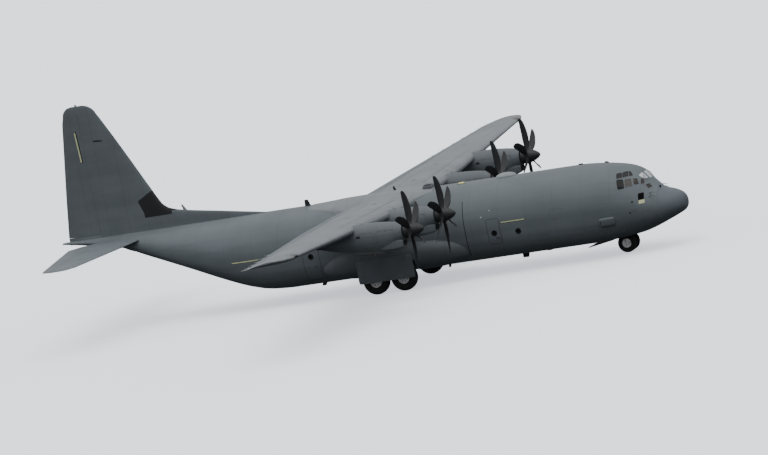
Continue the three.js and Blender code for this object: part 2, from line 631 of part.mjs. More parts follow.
// The ramp's front end is round and turns on pins in two lugs of the sill ahead of it.
const RAMP_HINGE = { s: 21.78, z: 0.915, nose: 0.108, pin: 0.03, lug: 0.085 };
const RAMP_LUGS = [0.85, 0.95]; // inner and outer faces, on both sides
const rampLugs = (extra, tail) => {
  const y = [RAMP_LUGS[0] - extra, RAMP_LUGS[1] + extra];
  const { s, z, lug } = RAMP_HINGE;
  const one = join(
    bar(at(s, y[0], z), at(s, y[1], z), lug + extra),
    block([RAMP[0] - 0.1, s], y, [z - lug - extra, z + lug + extra + tail]));
  return join(one, mirrored(one));
};
function rampPins(radius, extra) {
  const { s, z } = RAMP_HINGE;
  const one = bar(at(s, RAMP_LUGS[0] - extra, z), at(s, RAMP_LUGS[1] + extra, z), radius, radius, 16);
  return join(one, mirrored(one));
}
const rampNose = (extra) => join(
  bar(at(RAMP_HINGE.s, -RAMP_HALF - extra, RAMP_HINGE.z), at(RAMP_HINGE.s, RAMP_HALF + extra, RAMP_HINGE.z),
    RAMP_HINGE.nose + extra, RAMP_HINGE.nose + extra, 24),
  block([RAMP_HINGE.s, DOOR[1]], [-2, 2], [0, 3]));

// The cargo door turns on pins that its two arms put through lugs of the fuselage behind it.
const DOOR_HINGE = { s: 29.2, z: 3.6, lug: 0.06, pin: 0.025 };
const DOOR_LUG_Y = [0.4, 0.46];
const DOOR_ARM_Y = [0.32, 0.38];
const doorLugs = () => {
  const { s, z, lug, pin: radius } = DOOR_HINGE;
  const one = join(
    bar(at(s, DOOR_LUG_Y[0], z), at(s, DOOR_LUG_Y[1], z), lug),
    block([s, s + 0.35], DOOR_LUG_Y, [z - lug, z + lug]))
    .subtract(bar(at(s, 0, z), at(s, 1, z), radius + BEARING, radius + BEARING, 16));
  return join(one, mirrored(one)).intersect(hull);
};
const doorArms = () => {
  const { s, z, lug, pin: radius } = DOOR_HINGE;
  const one = join(
    bar(at(s, DOOR_ARM_Y[0], z), at(s, DOOR_ARM_Y[1], z), lug),
    block([s - 0.2, s], DOOR_ARM_Y, [z - 0.25, z + lug]),
    bar(at(s, DOOR_ARM_Y[0], z), at(s, DOOR_LUG_Y[1], z), radius, radius, 16));
  return join(one, mirrored(one)).intersect(hull);
};
const rampRearGap = block([RAMP[1] - RAMP_REAR_SLANT, DOOR[0]], [-RAMP_HALF - CLEAR, RAMP_HALF + CLEAR], [0, 2.5]);
const doorOutline = (extra) => [
  [DOOR[0] - extra, DOOR_HALF[0] + extra], [DOOR[1] + extra, DOOR_HALF[1] + extra],
  [DOOR[1] + extra, -DOOR_HALF[1] - extra], [DOOR[0] - extra, -DOOR_HALF[0] - extra]];
const cargoDoorSpace = (extra) => planPrism(doorOutline(extra), 0, 5).intersect(sidePrism([
  [DOOR[0] - extra, 0], [DOOR[1] + extra, 0], [DOOR[1] + extra, DOOR_TOP[1]],
  [DOOR[0] - extra, DOOR_TOP[0]]], -3, 3));

// Nose wheel well: an open box let into the belly.
const NOSE_WELL = { front: 2.75, rear: 4.6, half: 0.7, roof: 1.86, wall: 0.05 };
const noseWellBox = (extra, low) => block([NOSE_WELL.front - extra, NOSE_WELL.rear + extra],
  [-NOSE_WELL.half - extra, NOSE_WELL.half + extra], [low, NOSE_WELL.roof + extra]);

// Cockpit windows, each an opening with four straight edges
// Side panes. Columns: front and rear station of the upper edge, of the lower edge, bottom, top at the
// front and rear.
const SIDE_PANES = [
  [2.9, 3.14, 2.88, 3.12, 4.0, 4.22, 4.22],
  [2.6, 2.85, 2.56, 2.83, 4.0, 4.22, 4.22],
  [2.44, 2.55, 2.36, 2.51, 4.0, 4.12, 4.22],
  [2.81, 3.12, 2.73, 3.04, 3.49, 3.92, 3.94],
  [2.42, 2.75, 2.32, 2.67, 3.51, 3.89, 3.91],
  [2.14, 2.36, 2.04, 2.26, 3.54, 3.82, 3.88],
];
// Windscreen panes. Columns: inner and outer edge from the middle, of the upper edge and of the lower
// edge, then the heights of both edges at the inner and at the outer side.
const WINDSCREEN_PANES = [
  [0.0, 0.3, 0.0, 0.26, 4.06, 4.05, 3.63, 3.65],
  [0.38, 0.74, 0.34, 0.72, 4.05, 3.95, 3.68, 3.72],
  [0.62, 0.9, 0.68, 0.96, 3.44, 3.44, 3.25, 3.22],
];
const SIDE_PANE_DEPTH = [0.6, 3]; // from the middle, so that only the side wall is cut
const WINDSCREEN_DEPTH = [0.5, 2.24];
function frontPrism(outline, s0, s1) {
  return loft([s0, s1].map((s) => outline.map(([y, z]) => at(s, y, z))));
}
function cockpitPanes() {
  const panes = SIDE_PANES.map(([front, rear, lowFront, lowRear, bottom, topFront, topRear]) =>
    sidePrism([[lowFront, bottom], [front, topFront], [rear, topRear], [lowRear, bottom]], ...SIDE_PANE_DEPTH));
  for (const [inner, outer, lowInner, lowOuter, top, topOuter, bottom, bottomOuter] of WINDSCREEN_PANES) {
    const outline = [[inner, top], [outer, topOuter], [lowOuter, bottomOuter], [lowInner, bottom]];
    panes.push(frontPrism(outline, ...WINDSCREEN_DEPTH));
  }
  const half = join(...panes);
  return join(half, mirrored(half));
}
const GLASS_THICKNESS = 0.03;
const glazing = fuselageBody(SKIN_FORWARD + SEAT, CAVITY_FRONT + SEAT, 3.2)
  .subtract(fuselageBody(SKIN_FORWARD + SEAT + GLASS_THICKNESS, CAVITY_FRONT + SEAT + 0.03, 4))
  .intersect(block([1, 3.15], [-3, 3], [3.2, 5]));

// Flight deck
const deckBody = fuselageBody(SKIN_FORWARD + SEAT, CAVITY_FRONT + SEAT, FORWARD_JOINT - SEAT);
// Seats. Columns: station, y.
const SEATS = [
  [2.95, 0.62],
  [2.95, -0.62],
  [4.4, 0],
];
function crewSeat([s, y]) {
  return join(
    block([s - 0.15, s + 0.15], [y - 0.12, y + 0.12], [FLIGHT_DECK_Z - 0.02, FLIGHT_DECK_Z + 0.32]),
    block([s - 0.26, s + 0.26], [y - 0.25, y + 0.25], [FLIGHT_DECK_Z + 0.3, FLIGHT_DECK_Z + 0.42]),
    block([s + 0.18, s + 0.3], [y - 0.24, y + 0.24], [FLIGHT_DECK_Z + 0.4, FLIGHT_DECK_Z + 1.2]));
}
const ENTRANCE = { front: 4.7, rear: 6.16, inner: 0.75 }; // the open space inside the crew door
const flightDeck = largest(join(
  block([CAVITY_FRONT, FORWARD_JOINT], [-3, 3], [FLIGHT_DECK_Z - 0.08, FLIGHT_DECK_Z]),
  block([FORWARD_JOINT - 0.14, FORWARD_JOINT], [-3, 3], [FLIGHT_DECK_Z - 0.05, 3.9]),
  sidePrism([[1.75, FLIGHT_DECK_Z - 0.02], [2.3, FLIGHT_DECK_Z - 0.02], [2.3, 2.95], [2.1, 3.12], [1.75, 3.0]], -1.25, 1.25),
  block([2.2, 3.2], [-0.2, 0.2], [FLIGHT_DECK_Z - 0.02, 2.62]),
  ...SEATS.map(crewSeat))
  .subtract(block([ENTRANCE.front, ENTRANCE.rear], [ENTRANCE.inner, 3], [0, FLIGHT_DECK_Z + 1]))
  .intersect(deckBody));

// Cargo floor, with its edges following the walls; its front end is the floor inside the crew door
const holdBody = fuselageBody(SKIN_CENTRE + SEAT, ENTRANCE.front, AFT_JOINT - SEAT);
const cargoFloor = block([ENTRANCE.front, AFT_JOINT], [-3, 3], [FLOOR_Z - 0.14, FLOOR_Z]).intersect(holdBody);

// Fuselage pieces
const forwardShell = hull.intersect(between(RADOME_JOINT + SEAT, FORWARD_JOINT - SEAT / 2))
  .subtract(hollowForward);
const noseWell = noseWellBox(NOSE_WELL.wall, 0.2).intersect(hull);
const forwardFuselage = largest(forwardShell.add(noseWell)
  .subtract(noseWellBox(0, -1))
  .subtract(cockpitPanes())
  .subtract(doorSpace(SIDE_DOORS[0], SIDE_DOORS[0][6]))
  .subtract(crewDoorPins(pinHole)));
const radome = hull.intersect(between(-1, RADOME_JOINT));
const centreFuselage = largest(SIDE_DOORS.slice(1).reduce(
  (shell, door) => shell.subtract(doorSpace(door, door[6])),
  hull.intersect(between(FORWARD_JOINT + SEAT / 2, AFT_JOINT - SEAT / 2))
    .subtract(hollowCentre)
    .subtract(wholeWingSeat)));
const aftFuselage = largest(hull.intersect(between(AFT_JOINT + SEAT / 2, LENGTH + 1))
  .subtract(hollowAft)
  .subtract(rampSpace(CLEAR))
  .subtract(rampRearGap)
  .subtract(cargoDoorSpace(CLEAR))
  .subtract(tailplaneSeat));
const aftSill = block([AFT_JOINT + SEAT / 2, RAMP[0] - CLEAR], [-3, 3], [FLOOR_Z - 0.14, FLOOR_Z]).intersect(hull);
const rampFrame = join(aftFuselage, aftSill, rampLugs(0, 0).subtract(rampPins(RAMP_HINGE.pin + BEARING, 0.1)), doorLugs());
const cargoRamp = join(
  hull.intersect(rampSpace(0)).intersect(rampNose(0)).subtract(rampLugs(CLEAR, 0.3)),
  rampPins(RAMP_HINGE.pin, CLEAR + 0.03));
const cargoDoor = join(largest(hull.intersect(cargoDoorSpace(0)).subtract(hollowAft)), doorArms());

function sideDoor(door) {
  const [, front, rear, low, high, side, , wall] = door;
  const panel = hull.subtract(fuselageBody(wall, 2, 25)).intersect(doorSpace(door, 0));
  if (door[0] === "crew_door") return largest(panel).add(crewDoorPins(pin));
  const middle = (front + rear) / 2;
  const sight = low + (high - low) * (door[0] === "emergency_hatch" ? 0.42 : 0.7);
  const window = bar(at(middle, side * 0.9, sight), at(middle, side * 3, sight), DOOR_WINDOW_RADIUS);
  return largest(panel.subtract(window));
}

// Landing gear

// Sponsons: the long bulges that house the main wheels.
// Columns: station, outer edge, top, bottom.
const SPONSON = [
  [11.35, 1.75, 1.75, 1.3],
  [11.6, 2.08, 2.05, 1.1],
  [12.2, 2.36, 2.33, 0.94],
  [13.2, 2.55, 2.53, 0.87],
  [14.3, 2.62, 2.6, 0.86],
  [17.7, 2.62, 2.6, 0.86],
  [18.6, 2.5, 2.42, 0.93],
  [19.2, 2.3, 2.15, 1.08],
  [19.5, 2.1, 1.9, 1.25],
];
const SPONSON_ROOT = 1.15;
const SPONSON_POWER = 2.6;
const SPONSON_POINTS = 24;
function sponsonBody() {
  return loft(SPONSON.map(([s, outer, top, bottom]) => {
    const mid = (top + bottom) / 2;
    return Array.from({ length: SPONSON_POINTS }, (_, i) => {
      const angle = (2 * Math.PI * i) / SPONSON_POINTS;
      const across = Math.cos(angle);
      const high = Math.sin(angle);
      return at(s,
        SPONSON_ROOT + Math.sign(across) * Math.abs(across) ** (2 / SPONSON_POWER) * (outer - SPONSON_ROOT),
        mid + Math.sign(high) * Math.abs(high) ** (2 / SPONSON_POWER) * ((top - bottom) / 2));
    });
  }));
}
const MAIN_AXLES = [["front", 15.15], ["rear", 16.69]];
const MAIN_TRACK = 2.2;
const MAIN_WHEEL = { radius: 0.71, width: 0.46, rim: 0.32 };
const MAIN_WELL = { front: 14.3, rear: 17.54, inner: 1.3, roof: 1.56 };
const GEAR_DOOR = { front: 14.4, rear: 17.5, low: 0.69, high: 1.92, y: 2.6, thick: 0.055 };
const LEG_Y = 1.865;
const LEG_RADIUS = 0.085;
const LEG_BEAM = [1.0, 1.12]; // bottom and top of the beam that ties the two legs

const sponson = largest(sponsonBody()
  .intersect(block([10, 21], [SPONSON_ROOT, 4], [0, 4]))
  .subtract(hullSeat)
  .subtract(block([MAIN_WELL.front, MAIN_WELL.rear], [MAIN_WELL.inner, 4], [-1, MAIN_WELL.roof]))
  .subtract(block([GEAR_DOOR.front - SEAT, GEAR_DOOR.rear + SEAT],
    [GEAR_DOOR.y - SEAT, 4], [0, GEAR_DOOR.high + SEAT])));
const gearDoor = block([GEAR_DOOR.front, GEAR_DOOR.rear],
  [GEAR_DOOR.y, GEAR_DOOR.y + GEAR_DOOR.thick], [GEAR_DOOR.low, GEAR_DOOR.high]);

const AXLE_RADIUS = 0.07;
const WHEEL_SIDES = 24;
function mainLegs() {
  const parts = MAIN_AXLES.flatMap(([, s]) => [
    bar(at(s, LEG_Y, 0.62), at(s, LEG_Y, MAIN_WELL.roof - SEAT), LEG_RADIUS, LEG_RADIUS, 12),
    bar(at(s, LEG_Y, MAIN_WHEEL.radius), at(s, MAIN_TRACK + 0.1, MAIN_WHEEL.radius), AXLE_RADIUS),
  ]);
  const [front, rear] = MAIN_AXLES.map(([, s]) => s);
  const beam = block([front, rear], [LEG_Y - 0.06, LEG_Y + 0.06], LEG_BEAM);
  return largest(join(...parts, beam).subtract(hullSeat));
}

// A wheel's rim: a disc with a dished outer face, and a blind bore for the axle on its inner side.
function mainRim(s) {
  const { width, rim } = MAIN_WHEEL;
  const half = width / 2;
  const disc = turned(
    [[0, 0.01], [rim, 0.01], [rim, width - 0.06], [rim - 0.1, width - 0.12], [0.14, width - 0.14],
      [0.12, width - 0.05], [0, width - 0.05]],
    at(s, MAIN_TRACK - half, MAIN_WHEEL.radius), new THREE.Vector3(0, 1, 0), WHEEL_SIDES);
  const bore = bar(at(s, MAIN_TRACK - 1, MAIN_WHEEL.radius),
    at(s, MAIN_TRACK + 0.1 + BEARING, MAIN_WHEEL.radius), AXLE_RADIUS + BEARING);
  return disc.subtract(bore);
}

// A tyre: rounded shoulders and a flat tread, round the rim. The profile closes on itself.
function tyre(s, y, radius, width, rim) {
  const half = width / 2;
  const inner = rim + SEAT;
  const tall = radius - inner;
  const profile = [
    [inner, -half * 0.8], [inner + tall * 0.42, -half], [inner + tall * 0.82, -half * 0.86],
    [radius, -half * 0.5], [radius, half * 0.5], [inner + tall * 0.82, half * 0.86],
    [inner + tall * 0.42, half], [inner, half * 0.8], [inner, -half * 0.8]];
  return turned(profile, at(s, y, radius), new THREE.Vector3(0, 1, 0), WHEEL_SIDES);
}

const NOSE_AXLE = 3.53;
const NOSE_WHEEL = { radius: 0.495, width: 0.3, rim: 0.24, half: 0.29 };
const NOSE_LEG_RADIUS = 0.1;
const COLLAR_Z = 0.86; // where the turning lower leg meets the fixed upper leg
const PISTON = { radius: 0.06, reach: 0.12 }; // the lower leg's upper end, inside the upper leg
const noseLeg = join(
  bar(at(NOSE_AXLE, 0, COLLAR_Z), at(NOSE_AXLE, 0, NOSE_WELL.roof - SEAT), NOSE_LEG_RADIUS)
    .subtract(pinHole(at(NOSE_AXLE, 0, COLLAR_Z - 0.1), at(NOSE_AXLE, 0, COLLAR_Z + PISTON.reach), PISTON.radius)),
  bar(at(NOSE_AXLE, 0, 1.1), at(NOSE_AXLE + 0.8, 0, NOSE_WELL.roof - 0.1), 0.05),
  block([NOSE_AXLE + 0.6, NOSE_AXLE + 0.98], [-0.2, 0.2], [NOSE_WELL.roof - 0.12, NOSE_WELL.roof - SEAT]));
const noseFork = join(
  bar(at(NOSE_AXLE, 0, 0.42), at(NOSE_AXLE, 0, COLLAR_Z - CLEAR), 0.095),
  pin(at(NOSE_AXLE, 0, 0.6), at(NOSE_AXLE, 0, COLLAR_Z + PISTON.reach), PISTON.radius),
  block([NOSE_AXLE - 0.24, NOSE_AXLE + 0.02], [-0.05, 0.05], [0.66, 0.78]),
  block([NOSE_AXLE - 0.11, NOSE_AXLE + 0.11], [-0.105, 0.105], [0.4, 0.6]))
  .subtract(bar(at(NOSE_AXLE, -1, NOSE_WHEEL.radius), at(NOSE_AXLE, 1, NOSE_WHEEL.radius),
    AXLE_RADIUS + BEARING));
function noseHubs() {
  const { radius, width, rim, half } = NOSE_WHEEL;
  const disc = turned([[0, 0.01], [rim, 0.01], [rim, width - 0.05], [rim - 0.08, width - 0.09],
    [0.1, width - 0.1], [0.08, width - 0.03], [0, width - 0.03]],
  at(NOSE_AXLE, half - width / 2, radius), new THREE.Vector3(0, 1, 0), WHEEL_SIDES);
  return join(disc, mirrored(disc), bar(at(NOSE_AXLE, -half, radius), at(NOSE_AXLE, half, radius), AXLE_RADIUS));
}
const noseTyre = tyre(NOSE_AXLE, NOSE_WHEEL.half, NOSE_WHEEL.radius, NOSE_WHEEL.width, NOSE_WHEEL.rim);
// The nose gear's rear door hangs open behind the wheels, on two arms.
const NOSE_DOOR = { front: 4.24, rear: 5.7, frontTop: 0.77, rearTop: 0.54, thick: 0.045, half: 0.42 };
const NOSE_DOOR_ARMS = { front: 4.72, rear: 5.05, inner: 0.28, outer: 0.34, low: 0.66 };
function noseGearDoor() {
  const { front, rear, frontTop, rearTop, thick, half } = NOSE_DOOR;
  const { inner, outer, low } = NOSE_DOOR_ARMS;
  const plate = sidePrism(
    [[front, frontTop], [rear, rearTop], [rear, rearTop - thick], [front, frontTop - thick]], -half, half);
  const arm = block([NOSE_DOOR_ARMS.front, NOSE_DOOR_ARMS.rear], [inner, outer], [low, 1]);
  return largest(join(plate, arm, mirrored(arm)).subtract(hullSeat));
}

// Assembly
const plane = new THREE.Group();
plane.name = "military_transport_plane";

// A cut solid as a named mesh at the model's size.
function addPiece(group, name, body, finish) {
  const made = body.getMesh();
  const positions = Float32Array.from({ length: made.numVert * 3 }, (_, i) =>
    made.vertProperties[Math.floor(i / 3) * made.numProp + (i % 3)] * MODEL_MM);
  const geometry = new THREE.BufferGeometry();
  geometry.setAttribute("position", new THREE.BufferAttribute(positions, 3));
  geometry.setIndex(new THREE.BufferAttribute(made.triVerts, 1));
  geometry.computeVertexNormals();
  const mesh = new THREE.Mesh(geometry, new THREE.MeshStandardMaterial(FINISH[finish]));
  mesh.name = name;
  group.add(mesh);
}

const SIDES = [["left", 1], ["right", -1]];

const fuselage = new THREE.Group();
addPiece(fuselage, "radome", radome, "radome");
addPiece(fuselage, "forward_fuselage", forwardFuselage, "grey");
addPiece(fuselage, "centre_fuselage", centreFuselage, "grey");
addPiece(fuselage, "aft_fuselage", rampFrame, "grey");
addPiece(fuselage, "cockpit_glazing", glazing, "glass");
addPiece(fuselage, "flight_deck", flightDeck, "cabin");
addPiece(fuselage, "cargo_floor", cargoFloor, "cabin");
addPiece(fuselage, "cargo_ramp", cargoRamp, "grey");
addPiece(fuselage, "cargo_door", cargoDoor, "grey");
for (const door of SIDE_DOORS) addPiece(fuselage, door[0], sideDoor(door), "grey");
plane.add(fuselage);

const wings = new THREE.Group();
addPiece(wings, "wing_centre", wingCentre, "grey");
for (const [name, side] of SIDES) {
  addPiece(wings, `wing_${name}`, onSide(outerWing, side), "grey");
  addPiece(wings, `flap_inner_${name}`, onSide(flap(INNER_FLAP), side), "grey");
  addPiece(wings, `flap_outer_${name}`, onSide(flap(OUTER_FLAP), side), "grey");
  addPiece(wings, `aileron_${name}`, onSide(aileron, side), "grey");
}
plane.add(wings);

const power = new THREE.Group();
for (const [name, y, axis] of ENGINES) {
  addPiece(power, `nacelle_${name}`, nacelle(y, axis), "grey");
  addPiece(power, `engine_${name}`, engine(y, axis), "steel");
  addPiece(power, `propeller_${name}`, propeller(y, axis), "black");
}
plane.add(power);

const tail = new THREE.Group();
addPiece(tail, "fin", fin, "grey");
addPiece(tail, "rudder", rudder, "grey");
addPiece(tail, "tailplane", tailplane, "grey");
for (const [name, side] of SIDES) addPiece(tail, `elevator_${name}`, onSide(elevator, side), "grey");
plane.add(tail);

const gear = new THREE.Group();
for (const [name, side] of SIDES) {
  addPiece(gear, `sponson_${name}`, onSide(sponson, side), "grey");
  addPiece(gear, `main_gear_door_${name}`, onSide(gearDoor, side), "darkGrey");
  addPiece(gear, `main_gear_legs_${name}`, onSide(mainLegs(), side), "steel");
  for (const [place, s] of MAIN_AXLES) {
    const { radius, width, rim } = MAIN_WHEEL;
    addPiece(gear, `main_rim_${place}_${name}`, onSide(mainRim(s), side), "hub");
    addPiece(gear, `main_tyre_${place}_${name}`, onSide(tyre(s, MAIN_TRACK, radius, width, rim), side), "rubber");
  }
  addPiece(gear, `nose_tyre_${name}`, onSide(noseTyre, side), "rubber");
}
addPiece(gear, "nose_leg", noseLeg, "steel");
addPiece(gear, "nose_fork", noseFork, "steel");
addPiece(gear, "nose_hubs", noseHubs(), "hub");
addPiece(gear, "nose_gear_door", noseGearDoor(), "darkGrey");
plane.add(gear);

export default plane;
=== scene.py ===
# %% [markdown]
# # A military transport plane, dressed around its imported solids
# The aircraft is a high-winged cargo plane with four six-bladed propellers, a rear ramp and tandem
# main wheels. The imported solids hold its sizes, joints and collision. This lesson gives them their
# looks: smooth skins, paint, glass, tyres and the many small things that a hand or an eye would find.

# %% Load the frame
import json
import math

import bmesh
import bpy
import numpy as np
from mathutils import Matrix, Vector


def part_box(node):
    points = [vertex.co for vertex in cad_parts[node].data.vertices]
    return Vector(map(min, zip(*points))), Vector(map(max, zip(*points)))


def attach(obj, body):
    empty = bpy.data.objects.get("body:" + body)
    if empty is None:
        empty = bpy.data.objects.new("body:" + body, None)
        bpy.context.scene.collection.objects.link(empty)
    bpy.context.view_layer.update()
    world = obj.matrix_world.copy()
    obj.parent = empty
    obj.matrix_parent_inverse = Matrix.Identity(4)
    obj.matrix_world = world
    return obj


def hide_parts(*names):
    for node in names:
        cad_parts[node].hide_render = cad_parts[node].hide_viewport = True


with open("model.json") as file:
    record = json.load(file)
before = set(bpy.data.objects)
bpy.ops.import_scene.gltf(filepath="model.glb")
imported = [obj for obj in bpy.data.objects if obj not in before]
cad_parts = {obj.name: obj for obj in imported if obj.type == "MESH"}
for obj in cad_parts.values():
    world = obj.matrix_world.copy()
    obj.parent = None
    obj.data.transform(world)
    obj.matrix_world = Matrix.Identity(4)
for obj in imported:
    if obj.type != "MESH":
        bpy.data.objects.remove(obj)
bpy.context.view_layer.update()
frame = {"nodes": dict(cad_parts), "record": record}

# %% [markdown]
# ## Sizes
# The model is half the real aircraft's size. Every table below is written in the real aircraft's
# metres, as its drawings would be: a station is a distance aft of the nose tip, y is to the left and z
# is up from the ground. One function turns such a place into the model's own metres.

# %% Places
SCALE = 0.5
LENGTH = 34.37
MM = 0.001 * SCALE  # one millimetre of the real aircraft


def place(s, y, z):
    """Real station, y and z to model x, y, z: x runs forward from the middle of the length."""
    s, y, z = np.broadcast_arrays(*(np.asarray(v, float) for v in (s, y, z)))
    return np.stack([(LENGTH / 2 - s) * SCALE, y * SCALE, z * SCALE], axis=-1)


def real(points):
    """Model points back to real (s, y, z), the inverse of place()."""
    points = np.asarray(points, float)
    return LENGTH / 2 - points[..., 0] / SCALE, points[..., 1] / SCALE, points[..., 2] / SCALE


print("nose tip at", place(0, 0, 2.15).round(3), "tail at", place(LENGTH, 0, 4.7).round(3))

# %% [markdown]
# ## Meshes from arrays
# A new piece is a grid of points, m rows by n columns, that one formula has filled. Joining each point to
# its neighbours gives the faces. A ring closes on itself along its columns, and both ends may be closed
# by a cap, so that the piece is a solid with no hole. Modelling by hand with extrudes would do the same,
# but a formula is exact, and it can be changed later.

# %% Grid helpers


def grid_faces(rows, columns, ring=True):
    """Quads between neighbouring points of a grid; with ring, the last column meets the first."""
    i, j = np.meshgrid(np.arange(rows - 1), np.arange(columns if ring else columns - 1), indexing="ij")
    k = (j + 1) % columns
    quads = np.stack([i * columns + j, i * columns + k, (i + 1) * columns + k, (i + 1) * columns + j], -1)
    return quads.reshape(-1, 4).tolist()


def new_piece(name, points, faces, angle=35.0):
    """A mesh object at the origin; edges that turn more than angle degrees stay sharp."""
    mesh = bpy.data.meshes.new(name)
    mesh.from_pydata(np.asarray(points, float).reshape(-1, 3).tolist(), [], faces)
    return add_object(name, mesh, angle)


def add_object(name, mesh, angle):
    """Merges doubles, turns the faces outwards, smooths the shading and links the object."""
    work = bmesh.new()
    work.from_mesh(mesh)
    bmesh.ops.remove_doubles(work, verts=work.verts, dist=1e-6)
    bmesh.ops.recalc_face_normals(work, faces=work.faces)
    shade_by_angle(work, angle)
    work.to_mesh(mesh)
    work.free()
    piece = bpy.data.objects.new(name, mesh)
    bpy.context.scene.collection.objects.link(piece)
    return piece


def shade_by_angle(work, angle):
    """Smooth faces everywhere, with a sharp edge where two faces meet at more than the angle."""
    limit = math.radians(angle)
    for face in work.faces:
        face.smooth = True
    for edge in work.edges:
        edge.smooth = len(edge.link_faces) == 2 and edge.calc_face_angle(0) < limit


def solid_from_rings(rings):
    """Points and faces of closed rings, (m, n, 3), with a flat cap on the first and the last."""
    rings = np.asarray(rings, float)
    rows, columns = rings.shape[:2]
    last = (rows - 1) * columns
    faces = grid_faces(rows, columns)
    faces += [list(range(columns))[::-1], list(range(last, last + columns))]
    return rings.reshape(-1, 3), faces


def join_parts(parts):
    """Several (points, faces) lists as one, each list of faces moved on by the points before it."""
    points, faces, count = [], [], 0
    for some, quads in parts:
        points.append(np.asarray(some, float).reshape(-1, 3))
        faces += [[k + count for k in quad] for quad in quads]
        count += len(points[-1])
    return np.concatenate(points), faces


print("grid helpers ready:", len(grid_faces(4, 6)), "quads in a 4 by 6 ring grid")

# %% [markdown]
# A round part, such as a wheel or a spinner, is a profile turned about an axis. A pipe is a circle
# carried along a path. Both are grids too.

# %% Turned shapes and pipes


def frame_along(direction):
    """Two unit vectors at right angles to a direction, and to each other."""
    direction = np.asarray(direction, float) / np.linalg.norm(direction)
    helper = np.array([0.0, 0.0, 1.0]) if abs(direction[2]) < 0.9 else np.array([0.0, 1.0, 0.0])
    first = np.cross(helper, direction)
    first /= np.linalg.norm(first)
    return first, np.cross(direction, first)


def turned(profile, centre, axis, sides=48):
    """Rings of a profile of (radius, distance): centre + d * axis + r * (cos a * u + sin a * v)."""
    radius, along = np.asarray(profile, float).T
    axis = np.asarray(axis, float) / np.linalg.norm(axis)
    u, v = frame_along(axis)
    angle = np.linspace(0, 2 * np.pi, sides, endpoint=False)
    circle = np.cos(angle)[:, None] * u + np.sin(angle)[:, None] * v
    return np.asarray(centre, float) + along[:, None, None] * axis + radius[:, None, None] * circle


def lathe(profile, centre, axis, sides=32):
    """A solid turned about a model point from a profile in the real aircraft's metres."""
    return solid_from_rings(turned(np.asarray(profile, float) * SCALE, centre, axis, sides))


def pipe(path, radius, sides=10):
    """A circle carried along a path of model points, across its direction; its radius is in real metres."""
    path = np.asarray(path, float)
    radius = np.broadcast_to(np.asarray(radius, float) * SCALE, len(path))
    angle = np.linspace(0, 2 * np.pi, sides, endpoint=False)
    rings = []
    for point, direction, r in zip(path, np.gradient(path, axis=0), radius):
        u, v = frame_along(direction)
        rings.append(point + r * (np.cos(angle)[:, None] * u + np.sin(angle)[:, None] * v))
    return solid_from_rings(rings)


print("a turned ring has", turned([(1, 0)], (0, 0, 0), (1, 0, 0)).shape[1], "points")

# %% [markdown]
# ## Camera, floor and light
# The photograph was taken with a very long lens from the front right, a little above the wing, and the
# aircraft was climbing. The camera stands far off on that line and is rolled, which gives the climb back,
# while the model itself stands parked. The floor is one pale disc, and the light is a bright overcast
# sky: broad and soft from above, dim from below. A few small lamps would give hard shadows instead.

# %% Camera
CAMERA = {"azimuth": 20.08, "elevation": 7.73, "roll": 11.33, "distance": 200.0, "focal_px": 7697.86}
IMAGE = (768, 455)
AIM = np.array([0.0, 0.0, 2.0])  # the point that the photograph's line of sight was measured about
AIM_PIXEL = (368.87, 212.29)  # and where it lies in the image
azimuth, elevation, roll = (math.radians(CAMERA[k]) for k in ("azimuth", "elevation", "roll"))
back = np.array([math.sin(azimuth) * math.cos(elevation), -math.cos(azimuth) * math.cos(elevation),
                 math.sin(elevation)])
level_right = np.array([math.cos(azimuth), math.sin(azimuth), 0.0])
level_up = np.cross(back, level_right)
right = level_right * math.cos(roll) - level_up * math.sin(roll)
up = level_right * math.sin(roll) + level_up * math.cos(roll)
metre_per_pixel = CAMERA["distance"] / CAMERA["focal_px"]
target = AIM + (right * (IMAGE[0] / 2 - AIM_PIXEL[0]) - up * (IMAGE[1] / 2 - AIM_PIXEL[1])) * metre_per_pixel
eye = AIM + back * CAMERA["distance"]
camera_data = bpy.data.cameras.new("camera")
camera_data.sensor_width = 36.0
camera_data.lens = CAMERA["focal_px"] * camera_data.sensor_width / IMAGE[0]
camera_data.clip_end = 2000.0
camera = bpy.data.objects.new("camera", camera_data)
bpy.context.scene.collection.objects.link(camera)
outward = (eye - target) / np.linalg.norm(eye - target)
across = np.cross(up, outward)
across /= np.linalg.norm(across)
upright = np.cross(outward, across)
turned_view = Matrix(np.stack([across, upright, outward], 1).tolist()).to_4x4()
camera.matrix_world = Matrix.Translation(eye) @ turned_view
bpy.context.scene.camera = camera
print("camera at", eye.round(2), "lens", round(camera_data.lens, 1), "mm")

# %% [markdown]
# ## Colours and nodes
# Paints are written as sRGB hex values, as a paint card gives them. One function turns a value to the
# linear colour that the shader works in, and one small function adds a node with its settings and links.

# %% Colour and node helpers


def colour(value):
    """sRGB hex to linear RGBA: c / 12.92 below 0.04045, else ((c + 0.055) / 1.055) to the power 2.4."""
    c = np.array([int(value[i:i + 2], 16) / 255 for i in (1, 3, 5)])
    linear = np.where(c <= 0.04045, c / 12.92, ((c + 0.055) / 1.055) ** 2.4)
    return (*linear.tolist(), 1.0)


def tinted(value, factor):
    """A hex value with each of its three parts times a factor."""
    return "#" + "".join(f"{min(255, int(int(value[i:i + 2], 16) * factor)):02x}" for i in (1, 3, 5))


def node(tree, kind, inputs=(), out=0, **settings):
    """Adds a node, sets its properties and fills its inputs with sockets, numbers or hex colours."""
    made = tree.nodes.new("ShaderNode" + kind)
    for key, value in settings.items():
        setattr(made, key, value)
    for key, value in inputs.items() if isinstance(inputs, dict) else enumerate(inputs):
        if isinstance(value, bpy.types.NodeSocket):
            tree.links.new(value, made.inputs[key])
        else:
            made.inputs[key].default_value = colour(value) if isinstance(value, str) else value
    return made.outputs[out]


